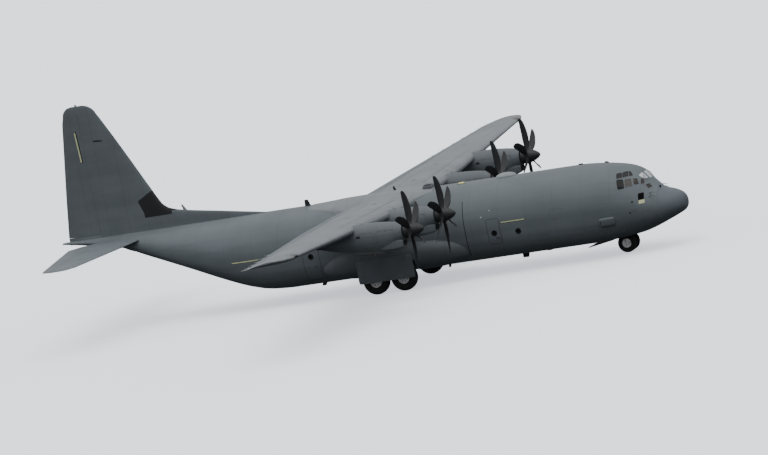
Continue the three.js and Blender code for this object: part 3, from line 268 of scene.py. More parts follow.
def new_material(name, base, roughness, metallic=0.0, **sockets):
    """A material with one Principled shader, whose plain sockets are set on the shader itself."""
    material = bpy.data.materials.new(name)
    material.use_nodes = True
    shader = material.node_tree.nodes["Principled BSDF"]
    sockets = {"Base_Color": colour(base), "Roughness": roughness, "Metallic": metallic, **sockets}
    for key, value in sockets.items():
        shader.inputs[key.replace("_", " ")].default_value = value
    return material, material.node_tree, shader


print("mid grey in linear light:", round(colour("#6b7378")[0], 3))

# %% [markdown]
# The sky is a World shader: pale above, dim below. Rays that leave the aircraft downwards don't see the
# floor, so its belly stays as dark as under a climbing aircraft. A lamp above adds a soft shadow.

# %% Floor and sky
# Stops of the sky, from straight down (0) over the horizon (0.5) to straight up (1).
SKY = [(0.0, "#4e5154"), (0.48, "#45494c"), (0.53, "#b9bdc1"), (0.7, "#dcdfe3"), (1.0, "#ffffff")]
WALL_STRENGTH = 2.15  # as bright as the lit floor, so that no horizon shows
world = bpy.data.worlds.new("overcast")
world.use_nodes = True
bpy.context.scene.world = world
sky = world.node_tree
height = node(sky, "SeparateXYZ", [node(sky, "TexCoord", out="Generated")], 2)
ramp = node(sky, "ValToRGB", [node(sky, "MapRange", [height, -1.0, 1.0])])
stops = ramp.node.color_ramp.elements
for k, (stop, value) in enumerate(SKY):
    step = stops[k] if k < 2 else stops.new(stop)
    step.position, step.color = stop, colour(value)
wall_tone = [WALL_STRENGTH * c for c in colour("#dfe3e8")[:3]] + [1.0]
seen = node(sky, "LightPath", out="Is Camera Ray")
pale = node(sky, "Mix", {0: seen, 6: ramp, 7: wall_tone}, 2, data_type="RGBA")
sky.links.new(pale, sky.nodes["Background"].inputs["Color"])

lamp_data = bpy.data.lights.new("soft_sun", "SUN")
lamp_data.energy = 0.9
lamp_data.angle = math.radians(50)
lamp = bpy.data.objects.new("soft_sun", lamp_data)
lamp.rotation_euler = (math.radians(10), math.radians(6), 0)
bpy.context.scene.collection.objects.link(lamp)

FLOOR_RADIUS = 500.0
FLOOR_SIDES = 96
turn = np.linspace(0, 2 * np.pi, FLOOR_SIDES, endpoint=False)
disc = np.stack([np.cos(turn), np.sin(turn), 0 * turn], 1) * FLOOR_RADIUS
floor = new_piece("studio_floor", disc, [list(range(FLOOR_SIDES))])
floor.data.materials.append(new_material("pale_floor", "#f1f4f8", 0.9, Emission_Color=colour("#e3e9f2"),
                                         Emission_Strength=1.0)[0])
floor.visible_diffuse = False
floor.visible_glossy = False
print("floor and sky ready")

# %% [markdown]
# ## Paints
# The aircraft wears one matt grey polyurethane over primed aluminium sheet. Close up it is never even:
# sheets meet in fine seams, rows of flush rivets run beside them, and exhaust and rain leave streaks along
# the flow. Towards the belly the paint darkens, which is painted shade of the underside. The pattern reads
# Object coordinates, so it lies on every part in the real place. A painted image would show the same, but
# it would need a file and an unwrapped mesh.

# %% Flight-surface paint
SEAM = 14 * MM  # half the width of a drawn seam; the real gap is 2 mm, too fine to show
SEAM_DEPTH = 3 * MM
RIVET_STEP, RIVET_SIZE = 90 * MM, 30 * MM  # three times the real ones, so that they show


def seam_mask(tree, value, spacing, width):
    """1 on multiples of the spacing and 0 elsewhere: the distance to the nearest multiple, remapped."""
    near = node(tree, "Math", (value, spacing / 2), operation="PINGPONG")
    return node(tree, "MapRange", [near, 0.0, width, 1.0, 0.0])


def polyurethane_paint(name, base, frames, stringers, around=None, grime=None, soot=None, seam_tone=0.38):
    """Matt aircraft paint. frames: seam spacing along x; stringers: spacing along y, or along the angle
    about `around` (y and z of an axis) times its radius; grime: (full below z, none above z),
    painted shade towards the belly; soot: (x of the jet pipe, x where its stain ends); seam_tone: how dark a
    seam is, from 0 to 1."""
    material, tree, shader = new_material(name, base, 0.62, IOR=1.48, Specular_IOR_Level=0.35)
    point = node(tree, "TexCoord", out="Object")
    x, y, z = node(tree, "SeparateXYZ", [point]).node.outputs
    seams = seam_mask(tree, x, frames, SEAM)
    rivet_rows = seam_mask(tree, x, frames / 3, SEAM * 0.6)
    run = y
    if around is not None:
        dy = node(tree, "Math", (y, around[0]), operation="SUBTRACT")
        dz = node(tree, "Math", (z, around[1]), operation="SUBTRACT")
        turn = node(tree, "Math", (dz, dy), operation="ARCTAN2")
        run = node(tree, "Math", (turn, around[2]), operation="MULTIPLY")
    seams = node(tree, "Math", (seams, seam_mask(tree, run, stringers, SEAM)), operation="MAXIMUM")
    dots = seam_mask(tree, run, RIVET_STEP, RIVET_SIZE)
    dots = node(tree, "Math", (rivet_rows, dots), operation="MULTIPLY")
    blotches = node(tree, "TexNoise", {"Vector": point, "Scale": 1.1, "Detail": 5.0})
    flow = node(tree, "Mapping", {"Vector": point, "Scale": (0.35, 5.0, 5.0)})
    streaks = node(tree, "TexNoise", {"Vector": flow, "Scale": 1.0, "Detail": 6.0})
    fine = node(tree, "TexNoise", {"Vector": point, "Scale": 60.0, "Detail": 3.0})
    soft = node(tree, "Math", (blotches, 0.55), operation="MULTIPLY")
    lengthwise = node(tree, "Math", (streaks, 0.45), operation="MULTIPLY")
    shade = node(tree, "Math", (soft, lengthwise), operation="ADD")
    even = node(tree, "MapRange", [shade, 0.35, 0.65])
    paint = node(tree, "Mix", {0: even, 6: tinted(base, 0.94), 7: tinted(base, 1.05)}, 2, data_type="RGBA")
    # Painted shade: the colour darkens to #34373a towards the belly, with a ragged edge from the streak
    # noise.
    if grime is not None:
        shade_edge_noise = node(tree, "Math", (streaks, 0.35), operation="MULTIPLY")
        level = node(tree, "Math", (z, shade_edge_noise), operation="ADD")
        low = node(tree, "MapRange", [level, grime[0] + 0.17, grime[1] + 0.17, 0.55, 0.0])
        paint = node(tree, "Mix", {0: low, 6: paint, 7: "#34373a"}, 2, data_type="RGBA")
    if soot is not None:
        drift = node(tree, "Math", (streaks, 0.5), operation="MULTIPLY")
        behind = node(tree, "Math", (x, drift), operation="ADD")
        stain = node(tree, "MapRange", [behind, soot[1] + 0.25, soot[0] + 0.25, 0.0, 0.65])
        paint = node(tree, "Mix", {0: stain, 6: paint, 7: "#26272a"}, 2, data_type="RGBA")
    for mask, strength, tone in ((seams, seam_tone, "#2d3033"), (dots, 0.16, "#3a3e41")):
        drawn = node(tree, "Math", (mask, strength), operation="MULTIPLY")
        paint = node(tree, "Mix", {0: drawn, 6: paint, 7: tone}, 2, data_type="RGBA")
    tree.links.new(paint, shader.inputs["Base Color"])
    gloss = node(tree, "MapRange", [streaks, 0.3, 0.7, 0.52, 0.72])
    tree.links.new(gloss, shader.inputs["Roughness"])
    grain = node(tree, "Math", (fine, 0.12), operation="MULTIPLY")
    depth = node(tree, "Math", (grain, seams), operation="SUBTRACT")
    bump = node(tree, "Bump", {"Height": depth, "Strength": 0.5, "Distance": SEAM_DEPTH})
    tree.links.new(bump, shader.inputs["Normal"])
    return material


NO_SEAMS = 40.0  # a spacing longer than the aircraft
FUSELAGE_AXIS = (0.0, 2.75 * SCALE, 2.05 * SCALE)
FUSELAGE_SEAMS = (1.52 * SCALE, 1.29 * SCALE, FUSELAGE_AXIS)
# Old matt paint has a soft, broad sheen. The hull's paint darkens towards the belly: painted shade of its
# underside.
fuselage_paint = polyurethane_paint("matt_grey_polyurethane_on_fuselage_sheet", "#6d7478", *FUSELAGE_SEAMS,
                                    grime=(0.8 * SCALE, 2.9 * SCALE), seam_tone=0.3)
sponson_paint = polyurethane_paint("matt_grey_polyurethane_on_sponsons", "#5d6367", *FUSELAGE_SEAMS,
                                   grime=(0.8 * SCALE, 2.6 * SCALE))
wing_paint = polyurethane_paint("matt_grey_polyurethane_on_wing_sheet", "#84898c", 0.72 * SCALE, 1.7 * SCALE)
control_paint = polyurethane_paint("matt_grey_polyurethane_on_control_surfaces", "#737a7f", NO_SEAMS,
                                   1.1 * SCALE)
tail_paint = polyurethane_paint("matt_grey_polyurethane_on_tail_sheet", "#676d71", 1.1 * SCALE, 1.5 * SCALE)
radome_paint = polyurethane_paint("rain_erosion_coating_on_radome", "#646b70", NO_SEAMS, NO_SEAMS,
                                  FUSELAGE_AXIS)
print("paints:", fuselage_paint.name, wing_paint.name)

# %% [markdown]
# The other finishes are simpler: forged and painted steel, tyre rubber, moulded composite, acrylic
# glass, lined cabin walls. Each starts from its usual index of refraction and roughness.

# %% Other finishes


def plain_finish(name, base, roughness, metallic=0.0, grain=12.0, spread=0.12, bump_mm=0.6, **sockets):
    """A single finish whose colour and roughness drift a little with noise of the given grain."""
    material, tree, shader = new_material(name, base, roughness, metallic, **sockets)
    point = node(tree, "TexCoord", out="Object")
    cloud = node(tree, "TexNoise", {"Vector": point, "Scale": grain, "Detail": 4.0})
    mixed = node(tree, "Mix", {0: cloud, 6: tinted(base, 1 - spread), 7: tinted(base, 1 + spread)}, 2,
                 data_type="RGBA")
    tree.links.new(mixed, shader.inputs["Base Color"])
    smooth, dull = max(0.02, roughness - 0.06), min(1.0, roughness + 0.06)
    rough = node(tree, "MapRange", [cloud, 0.3, 0.7, smooth, dull])
    tree.links.new(rough, shader.inputs["Roughness"])
    fine = node(tree, "TexNoise", {"Vector": point, "Scale": grain * 12, "Detail": 2.0})
    bump = node(tree, "Bump", {"Height": fine, "Strength": 0.35, "Distance": bump_mm * MM})
    tree.links.new(bump, shader.inputs["Normal"])
    return material


# Moulded carbon and rubber take in nearly all light; only a soft, wide sheen shows their shape.
propeller_black = plain_finish("moulded_carbon_blade_in_matt_black", "#28292c", 0.5, grain=3.0, IOR=1.5)
spinner_black = plain_finish("matt_black_spinner_paint", "#2b2b2e", 0.55, grain=3.0, IOR=1.5)
boot_black = plain_finish("rubber_de_icing_boot", "#1d1d1f", 0.7, grain=4.0, IOR=1.52)
tyre_rubber = plain_finish("aircraft_tyre_rubber", "#171717", 0.85, grain=10.0, IOR=1.52, bump_mm=2.0)
# Black rubber for seals, gaskets and other black parts. The same finish paints the shade in openings and
# recesses: the intakes' throats, the inlet's mouth, the cowl vents, the wheels' cooling holes and the handle
# cups.
black_rubber_and_hole_shade = plain_finish("black_rubber_and_painted_hole_shade", "#1b1c1d", 0.75, grain=8.0, IOR=1.52)
# Matt black for the sensor windows and the static vents; it also paints the shade in the cheek boxes'
# mouths.
sensor_black_and_mouth_shade = plain_finish("matt_black_sensor_window_and_mouth_shade", "#060708", 0.6, Specular_IOR_Level=0.1)
# Enamel on forgings is smoother than the aircraft's own paint, so edges catch a narrow highlight.
wheel_paint = plain_finish("pale_grey_enamel_on_forged_wheel", "#efede6", 0.42, grain=6.0, spread=0.16,
                           IOR=1.5)
gear_paint = plain_finish("pale_grey_enamel_on_gear_legs", "#c4c5c1", 0.45, grain=6.0, spread=0.15, IOR=1.5)
frame_paint = plain_finish("grey_window_frame_enamel", "#666c70", 0.5, grain=8.0, IOR=1.5)
pod_paint = plain_finish("pale_grey_paint_on_antenna_pod", "#8b9093", 0.5, grain=3.0, IOR=1.5)
belly_panel_paint = plain_finish("wiped_grey_paint_on_cowl_belly", "#8b8a82", 0.42, grain=6.0, spread=0.15,
                                 IOR=1.5)
# Bare metals mirror their surroundings: sharply when chromed, dimly when machined, worn or heated.
chrome = plain_finish("polished_chromed_piston", "#c9cbcc", 0.15, 1.0, grain=5.0, spread=0.04)
dark_metal = plain_finish("heat_darkened_steel", "#3b3734", 0.5, 0.9, grain=7.0, spread=0.2)
bare_steel = plain_finish("bare_machined_steel", "#9a9da0", 0.35, 1.0, grain=8.0)
floor_plate = plain_finish("worn_aluminium_floor_plate", "#7e8284", 0.4, 0.85, grain=6.0, spread=0.18)
nickel_strip = plain_finish("nickel_erosion_strip_worn_dark", "#4a4a4b", 0.4, 0.6, grain=6.0)
# Primer, dull paint, sealant and cloth scatter light evenly, so they look flat from every side.
bay_paint = plain_finish("dull_primer_in_wheel_bay", "#4c4f4d", 0.7, grain=5.0, spread=0.2, IOR=1.5)
gear_door_paint = plain_finish("matt_dark_grey_on_gear_doors", "#5d6165", 0.65, grain=2.5, spread=0.14,
                               IOR=1.48)
seam_shadow = plain_finish("dark_sealant_in_panel_gap", "#4d5256", 0.8, grain=8.0, IOR=1.5)
wing_joint = plain_finish("faded_sealant_in_wing_joint", "#666b6e", 0.8, grain=8.0, IOR=1.5)
wick_paint = plain_finish("off_white_static_wick", "#c8cbc6", 0.6, grain=8.0, IOR=1.5)
lining = plain_finish("quilted_grey_cabin_lining", "#8d918b", 0.85, grain=9.0, spread=0.1, bump_mm=1.0,
                      IOR=1.45)
seat_cloth = plain_finish("brown_grey_seat_cloth", "#5c5248", 0.9, grain=30.0, bump_mm=2.0, IOR=1.45)
seat_web = plain_finish("red_brown_seat_webbing", "#6e3b2a", 0.85, grain=25.0, spread=0.15, bump_mm=2.0,
                        IOR=1.45)
# Acrylic lenses and windows are very smooth: a small, hard highlight on a clear colour.
LENS = {"grain": 5.0, "spread": 0.05, "IOR": 1.49}
red_lens = plain_finish("red_acrylic_lamp_lens", "#a3161a", 0.15, **LENS)
green_lens = plain_finish("green_acrylic_lamp_lens", "#15803c", 0.15, **LENS)
amber_lens = plain_finish("amber_acrylic_beacon_lens", "#d9d58e", 0.2, **LENS)
clear_lens = plain_finish("clear_acrylic_lamp_lens", "#d5dde0", 0.08, grain=5.0, spread=0.03, IOR=1.49)
dark_window = plain_finish("acrylic_hold_window", "#141619", 0.08, bump_mm=0.1, **LENS)
formation_strip = plain_finish("pale_yellow_formation_light_strip", "#d9dfae", 0.4, grain=5.0, spread=0.05,
                               IOR=1.5)
# Glass: tinted panes look dark with a faint mirror of the sky, and the heated windscreen mirrors it fully.
window_glass = new_material("brown_tinted_side_glass", "#403b38", 0.07, IOR=1.52, Specular_IOR_Level=0.35,
                            Alpha=0.85)[0]
roof_glass = new_material("green_grey_roof_glass", "#0d0f11", 0.07, IOR=1.5, Specular_IOR_Level=0.2,
                          Alpha=0.95)[0]
windscreen_glass = new_material("heated_windscreen_glass", "#e6eaec", 0.06, 0.85, Alpha=0.9)[0]
cabin_lamp = new_material("frosted_cabin_lamp_glass", "#e9e6dc", 0.4, IOR=1.5, Emission_Strength=6.0,
                          Emission_Color=colour("#fff1d8"))[0]
print("finishes:", len(bpy.data.materials))

# %% [markdown]
# ## The fuselage skin
# The real fuselage is a round-cornered tube of thin sheet that swells behind the radome and sweeps up to
# the tail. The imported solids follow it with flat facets. Each fuselage piece here is a copy of its solid,
# so every door and window stays where it is, sliced finer and then moved out to the true curve. Remaking
# each panel by hand would give the same skin, with more chance that a door no longer fits its frame.

# %% The fuselage's true curve
# Columns: station, top, bottom, half width, height of the widest place, upper power, lower power.
FUSELAGE = np.array([
    [0.0, 2.15, 2.15, 0.0, 2.15, 2.0, 2.0],
    [0.05, 2.47, 1.88, 0.36, 2.15, 2.0, 2.0],
    [0.2, 2.67, 1.72, 0.62, 2.14, 2.0, 2.0],
    [0.52, 2.85, 1.57, 0.92, 2.12, 2.0, 2.1],
    [1.15, 3.08, 1.33, 1.27, 2.12, 2.0, 2.2],
    [1.62, 3.62, 1.16, 1.49, 2.18, 1.75, 2.3],
    [1.95, 4.1, 1.06, 1.62, 2.28, 1.7, 2.4],
    [2.4, 4.37, 0.95, 1.77, 2.4, 1.8, 2.5],
    [3.17, 4.58, 0.87, 1.94, 2.53, 1.95, 2.9],
    [4.2, 4.73, 0.8, 2.08, 2.62, 2.05, 3.2],
    [5.3, 4.81, 0.78, 2.135, 2.68, 2.05, 3.4],
    [21.5, 4.81, 0.78, 2.135, 2.68, 2.05, 3.4],
    [22.8, 4.81, 0.86, 2.13, 2.72, 2.05, 3.4],
    [23.9, 4.81, 1.12, 2.1, 2.82, 2.05, 3.2],
    [25.0, 4.81, 1.54, 2.02, 3.02, 2.05, 3.0],
    [27.0, 4.81, 2.45, 1.76, 3.43, 2.1, 2.8],
    [29.4, 4.81, 3.5, 1.28, 4.0, 2.1, 2.6],
    [30.9, 4.81, 4.12, 0.9, 4.38, 2.1, 2.4],
    [32.4, 4.8, 4.38, 0.5, 4.58, 2.0, 2.2],
    [33.9, 4.79, 4.62, 0.18, 4.71, 2.0, 2.0],
    [34.37, 4.77, 4.69, 0.05, 4.73, 2.0, 2.0],
])


print("the fuselage's table has", len(FUSELAGE), "sections")

# %% [markdown]
# Between two rows the sections change along a smooth curve that never overshoots, so no bulge appears
# that the table doesn't hold. Each section is a superellipse, with its own power above and below.

# %% The hull between the rows


def smooth_rows(table, where):
    """Monotone cubic through a table's rows: each slope is the harmonic mean of its neighbours' slopes."""
    x, values = table[:, 0], table[:, 1:]
    gap = np.diff(x)[:, None]
    slope = np.diff(values, axis=0) / gap
    before, after = slope[:-1], slope[1:]
    same_sign = before * after > 0
    safe = np.where(same_sign, before * after, 1.0)
    middle = np.where(same_sign, 2 * safe / np.where(same_sign, before + after, 1.0), 0.0)
    tangent = np.concatenate([slope[:1], middle, slope[-1:]])
    k = np.clip(np.searchsorted(x, where, side="right") - 1, 0, len(x) - 2)
    t = ((where - x[k]) / (x[k + 1] - x[k]))[..., None]
    h = (x[k + 1] - x[k])[..., None]
    return ((2 * t**3 - 3 * t**2 + 1) * values[k] + (t**3 - 2 * t**2 + t) * h * tangent[k]
            + (3 * t**2 - 2 * t**3) * values[k + 1] + (t**3 - t**2) * h * tangent[k + 1])


def hull_rows(s):
    """The fuselage's row at any station. Tables run over the station's root, which rounds the nose."""
    table = FUSELAGE.copy()
    table[:, 0] = np.sqrt(table[:, 0])
    return np.moveaxis(smooth_rows(table, np.sqrt(np.clip(s, 0, LENGTH))), -1, 0)


def hull_level(s, y, z):
    """Below 1 inside the hull and above 1 outside: (|y / half|^p + |dz / height|^p) to the power 1 / p."""
    top, bottom, half, mid, upper, lower = hull_rows(s)
    dz = z - mid
    high = np.maximum(np.where(dz >= 0, top - mid, mid - bottom), 1e-6)
    power = np.where(dz >= 0, upper, lower)
    return (np.abs(y / np.maximum(half, 1e-6)) ** power + np.abs(dz / high) ** power) ** (1 / power), mid


def on_hull(s, y, z):
    """The hull's point in the direction of (y, z) from the section's middle."""
    level, mid = hull_level(s, y, z)
    factor = 1 / np.maximum(level, 1e-9)
    return y * factor, mid + (z - mid) * factor


def hull_y(s, z, side):
    """Half width of the hull at a height, on one side: half * (1 - |dz / height|^p) to the power 1 / p."""
    top, bottom, half, mid, upper, lower = hull_rows(s)
    dz = z - mid
    high = np.where(dz >= 0, top - mid, mid - bottom)
    power = np.where(dz >= 0, upper, lower)
    return side * half * np.maximum(1 - np.abs(dz / high) ** power, 0) ** (1 / power)


FRONT_WALL = (1.2, 4.0)  # the stations that the flight deck's front lies between


def hull_s(y, z):
    """Station where the hull passes through a given y and z, found by halving the range 40 times."""
    a, b = (np.full_like(y, station) for station in FRONT_WALL)
    for _ in range(40):
        middle = (a + b) / 2
        outside = hull_level(middle, y, z)[0] > 1
        a, b = np.where(outside, middle, a), np.where(outside, b, middle)
    return (a + b) / 2


print("hull half width at station 10:", hull_y(10.0, 2.68, 1).round(3))

# %% [markdown]
# A flat facet has corners only where it ends. Planes that cut through a copy of a solid give it more
# corners, which can be moved, and change nothing else.

# %% Slicing and moving a solid's skin


def merged_copy(name):
    """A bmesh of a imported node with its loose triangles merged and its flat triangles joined."""
    work = bmesh.new()
    work.from_mesh(frame["nodes"][name].data)
    bmesh.ops.remove_doubles(work, verts=work.verts, dist=1e-5)
    bmesh.ops.dissolve_limit(work, angle_limit=math.radians(0.2), verts=work.verts, edges=work.edges)
    return work


def slice_by(work, planes):
    """Cuts every face along each (point, normal) plane and keeps both sides."""
    for point, normal in planes:
        everything = list(work.verts) + list(work.edges) + list(work.faces)
        bmesh.ops.bisect_plane(work, geom=everything, plane_co=point, plane_no=normal, dist=1e-6)


def link_copy(name, work, angle):
    """Writes the bmesh to a new object named NODE_skin, which stands for the node."""
    bmesh.ops.triangulate(work, faces=[f for f in work.faces if len(f.verts) > 4])
    shade_by_angle(work, angle)
    mesh = bpy.data.meshes.new(name + "_skin")
    work.to_mesh(mesh)
    work.free()
    piece = bpy.data.objects.new(name + "_skin", mesh)
    bpy.context.scene.collection.objects.link(piece)
    return piece


print("packed nodes to dress:", len(frame["nodes"]))

# %% [markdown]
# Every piece needs more than its shape: a finish, the body that it moves with, and the imported nodes
# that it stands for, which are hidden. One function gives them all; the record's material slot is passed to
# it but not used.

# %% Dressing a piece
BODY_OF = {n: body for body, nodes in frame["record"]["behaviour"]["bodies"].items() for n in nodes}


def dress(piece, material, body, slot, *replaced):
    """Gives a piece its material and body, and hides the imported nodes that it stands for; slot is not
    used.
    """
    if not piece.data.materials:
        piece.data.materials.append(material)
    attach(piece, body)
    if replaced:
        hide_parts(*replaced)
    return piece


def add_piece(name, finish, shapes, slot="airframe_paint", body="airframe", replaced=(), angle=40):
    """Shapes, each a pair of points and faces, as one named piece that is dressed and rides on a body."""
    return dress(new_piece(name, *join_parts(shapes), angle), finish, body, slot, *replaced)


print("bodies:", len(set(BODY_OF.values())))

# %% [markdown]
# Each fuselage solid is cut by planes across and along it. A corner near the true curve is moved out to
# it, and deeper ones stay. Faces deep inside wear the cabin's lining.

# %% Hull skins
SKIN_SEARCH = 0.045  # a vertex this near the hull belongs to its outer face, in real metres
HULL_PIECES = ["forward_fuselage", "centre_fuselage", "aft_fuselage", "cargo_ramp", "cargo_door",
               "crew_door", "emergency_hatch", "paratroop_door_left", "paratroop_door_right"]
RADIAL_PLANES = 32
INNER_LEVEL = 0.975  # a face whose middle lies deeper than this is inside the hull and wears the lining
NOSE_BAY = (2.7, 4.7, 0.76, 1.95)  # from and to station, half width and roof of the nose wheel's bay


def hull_skin(name):
    """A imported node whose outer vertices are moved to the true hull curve."""
    work = merged_copy(name)
    low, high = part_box(name)
    front, rear = LENGTH / 2 - high.x / SCALE, LENGTH / 2 - low.x / SCALE
    curved = [s for s in np.concatenate([np.arange(1.4, 5.4, 0.16), np.arange(21.6, 34.3, 0.4)])
              if front + 0.02 < s < rear - 0.02]
    middle = Vector(place(0, 0, 2.65))
    planes = [(Vector(place(s, 0, 0)), Vector((1, 0, 0))) for s in curved]
    planes += [(middle, Vector((0, math.cos(a), math.sin(a)))) for a in
               (np.arange(RADIAL_PLANES) + 0.5) * math.pi / RADIAL_PLANES]
    slice_by(work, planes)
    points = np.array([v.co for v in work.verts])
    s, y, z = real(points)
    level, mid = hull_level(s, y, z)
    depth = np.hypot(y, z - mid) * (1 / np.maximum(level, 1e-9) - 1)
    outer = np.abs(depth) < SKIN_SEARCH
    new_y, new_z = on_hull(s, y, z)
    points = place(s, np.where(outer, new_y, y), np.where(outer, new_z, z))
    for vertex, point in zip(work.verts, points):
        vertex.co = point
    piece = link_copy(name, work, 30)
    dress(piece, fuselage_paint, BODY_OF[name], "airframe_paint", name)
    piece.data.materials.append(lining)
    piece.data.materials.append(bay_paint)
    for face in piece.data.polygons:
        s, y, z = real(np.array(face.center))
        if hull_level(s, y, z)[0] < INNER_LEVEL:
            in_well = NOSE_BAY[0] < s < NOSE_BAY[1] and abs(y) < NOSE_BAY[2] and z < NOSE_BAY[3]
            face.material_index = 2 if in_well else 1
    print(name, len(piece.data.polygons), "faces,", int(outer.sum()), "vertices on the hull")
    return piece


for name in HULL_PIECES:
    hull_skin(name)

# %% [markdown]
# ## The radome
# The nose cap is one moulding of glass-fibre that radar can see through. It is the most rounded part of
# the hull, so it isn't sliced from its solid but made new: rings of the same curve, packed more closely
# towards the tip, where the real surface turns fastest.

# %% Radome
RADOME_END = 1.3
ring_angle = np.linspace(0, 2 * np.pi, 64, endpoint=False)


def hull_ring(s, inset=0.0, turn=ring_angle):
    """A ring of the hull: y = |cos a|^(2/p) * half and z = mid + |sin a|^(2/p) * height, with signs."""
    top, bottom, half, mid, upper, lower = hull_rows(s)
    c, w = np.cos(turn), np.sin(turn)
    power = np.where(w >= 0, upper, lower)
    tall = np.where(w >= 0, top - mid, mid - bottom) - inset
    return place(s, np.sign(c) * np.abs(c) ** (2 / power) * (half - inset),
                 mid + np.sign(w) * np.abs(w) ** (2 / power) * tall)


stations = RADOME_END * np.linspace(0.004, 1, 40) ** 2
rings = [hull_ring(s) for s in stations] + [hull_ring(RADOME_END - 0.0004, inset) for inset in (0.03, 0.4)]
radome = add_piece("radome_skin", radome_paint, [solid_from_rings(rings)], "radome_paint",
                   replaced=["radome"], angle=35)
print("radome:", len(radome.data.polygons), "faces")

# %% [markdown]
# ## Wings and tail
# The wing is flat-sided along its span and curved only from nose to tail, so its solid's facets need no
# slicing: smooth shading hides them. What shading can't hide is the blunt front edge. On the real wing
# the leading edge is a separate row of curved panels, with a seam behind them, and so it is here.

# %% Smooth skins of the lifting surfaces


def smooth_skin(name, material, slot="airframe_paint", angle=32):
    """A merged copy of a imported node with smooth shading."""
    piece = link_copy(name, merged_copy(name), angle)
    return dress(piece, material, BODY_OF[name], slot, name)


SIDES = (("left", 1), ("right", -1))
smooth_skin("wing_centre", wing_paint, angle=60)
smooth_skin("tailplane", control_paint, angle=50)
smooth_skin("rudder", tail_paint, angle=50)
for side, _ in SIDES:
    smooth_skin(f"wing_{side}", wing_paint, angle=60)
    for part in ("flap_inner", "flap_outer", "aileron"):
        smooth_skin(f"{part}_{side}", control_paint, angle=50)
    smooth_skin(f"elevator_{side}", control_paint, angle=50)
print("lifting surfaces dressed")

# %% [markdown]
# A nose panel is a row of rings across the span. Each ring runs round the aerofoil's front, a few
# millimetres proud of the solid, and closes inside the wing.

# %% Leading edges
# Columns: span station, leading edge, chord, leading edge height, drop to the trailing edge, thickness.
WING = np.array([
    [0.0, 14.15, 4.88, 4.38, 0.26, 0.18],
    [2.2, 14.15, 4.88, 4.38, 0.26, 0.18],
    [5.4, 14.15, 4.88, 4.47, 0.3, 0.175],
    [10.2, 14.29, 4.08, 4.69, 0.29, 0.16],
    [19.3, 14.55, 2.56, 5.09, 0.26, 0.12],
    [19.9, 14.75, 2.1, 5.13, 0.22, 0.1],
    [20.205, 15.25, 1.1, 5.16, 0.12, 0.06],
])
WING_CAMBER = 0.02


def row_at(table, where):
    """A table's row between two of its rows, by straight lines."""
    return np.array([np.interp(where, table[:, 0], table[:, c]) for c in range(table.shape[1])])


def wing_half_thickness(part, thickness):
    """The four-digit aerofoil's half thickness in chords, with the small addition that the solid has."""
    return 5 * thickness * (0.2969 * np.sqrt(part) - 0.126 * part - 0.3516 * part**2
                            + 0.2843 * part**3 - 0.1015 * part**4) + 0.002


NOSE_POINTS = 31


def nose_section(reach):
    """Parts of the chord round a nose, from the top at `reach` over the tip to the bottom: reach * t^2."""
    t = np.linspace(1, -1, NOSE_POINTS)
    return reach * t**2, np.where(t >= 0, 1.0, -1.0), t == 0


def wing_nose(y, side, reach=0.11, out=3 * MM / SCALE):
    """A ring of the wing's front part, a little proud of the solid, closed through the wing's inside."""
    _, leading, chord, height, drop, thickness = row_at(WING, y)
    part, face, tip = nose_section(reach)
    half = np.where(tip, 0.0, wing_half_thickness(part, thickness) + out / chord)
    bow = 4 * WING_CAMBER * part * (1 - part)
    s = leading + part * chord - out * (1 - part / reach)
    z = height - part * drop + (bow + face * half) * chord
    inner_s = np.array([leading + (reach - 0.012) * chord] * 2)
    inner_z = height - reach * drop + np.array([-0.3, 0.3]) * half[0] * chord
    return place(np.append(s, inner_s), side * y, np.append(z, inner_z))


# Panels of the leading edge. Columns: from and to, with the nacelles between them left out.
NOSE_PANELS = [(2.3, 4.22), (5.6, 9.42), (10.8, 15.2), (15.23, 19.3)]
parts = []
for _, sign in SIDES:
    for start, end in NOSE_PANELS:
        inner = [y for y in WING[:, 0] if start < y < end]
        parts.append(solid_from_rings([wing_nose(y, sign) for y in [start, *inner, end]]))
add_piece("wing_leading_edges", wing_paint, parts)
print("wing leading edge panels:", len(parts))

# %% [markdown]
# The tailplane's nose is made in the same way. Its section, and the fin's, is a plainer curve that is
# given by its half thickness.

# %% Tail leading edges
# Fin. Columns: height, leading edge, trailing edge, half thickness.
FIN = np.array([
    [4.5, 27.62, 34.02, 0.26],
    [6.99, 28.86, 33.67, 0.235],
    [10.98, 30.85, 33.05, 0.13],
    [11.55, 31.17, 32.88, 0.1],
    [11.79, 31.5, 32.65, 0.06],
    [11.85, 31.75, 32.4, 0.03],
])
# Tailplane. Columns: span station, leading edge, trailing edge, thickness.
TAILPLANE = np.array([
    [0, 29.5, 33.82, 0.4],
    [7.4, 30.9, 32.72, 0.17],
    [7.85, 31.15, 32.6, 0.12],
    [8.025, 31.5, 32.4, 0.06],
])
TAIL_Z = 4.5


def fin_shape(part):
    """Part of the tail surfaces' half thickness along the chord: 1.65 * sqrt(p) * (1 - p)^0.75."""
    return 1.65 * np.sqrt(part) * (1 - part) ** 0.75


TAIL_REACH, TAIL_OUT = 0.09, 0.004  # part of the chord that the panel covers, and how proud it is


def tail_nose(leading, trailing, half):
    """Stations and offsets of a tail surface's front part, closed through its inside."""
    part, face, _ = nose_section(TAIL_REACH)
    chord = trailing - leading
    offset = face * (half * fin_shape(part) + TAIL_OUT * np.minimum(1, part / TAIL_REACH * 9))
    s = leading + part * chord - TAIL_OUT * (1 - part / TAIL_REACH)
    return (np.append(s, [leading + (TAIL_REACH - 0.01) * chord] * 2),
            np.append(offset, [-0.3 * offset[0], 0.3 * offset[0]]))


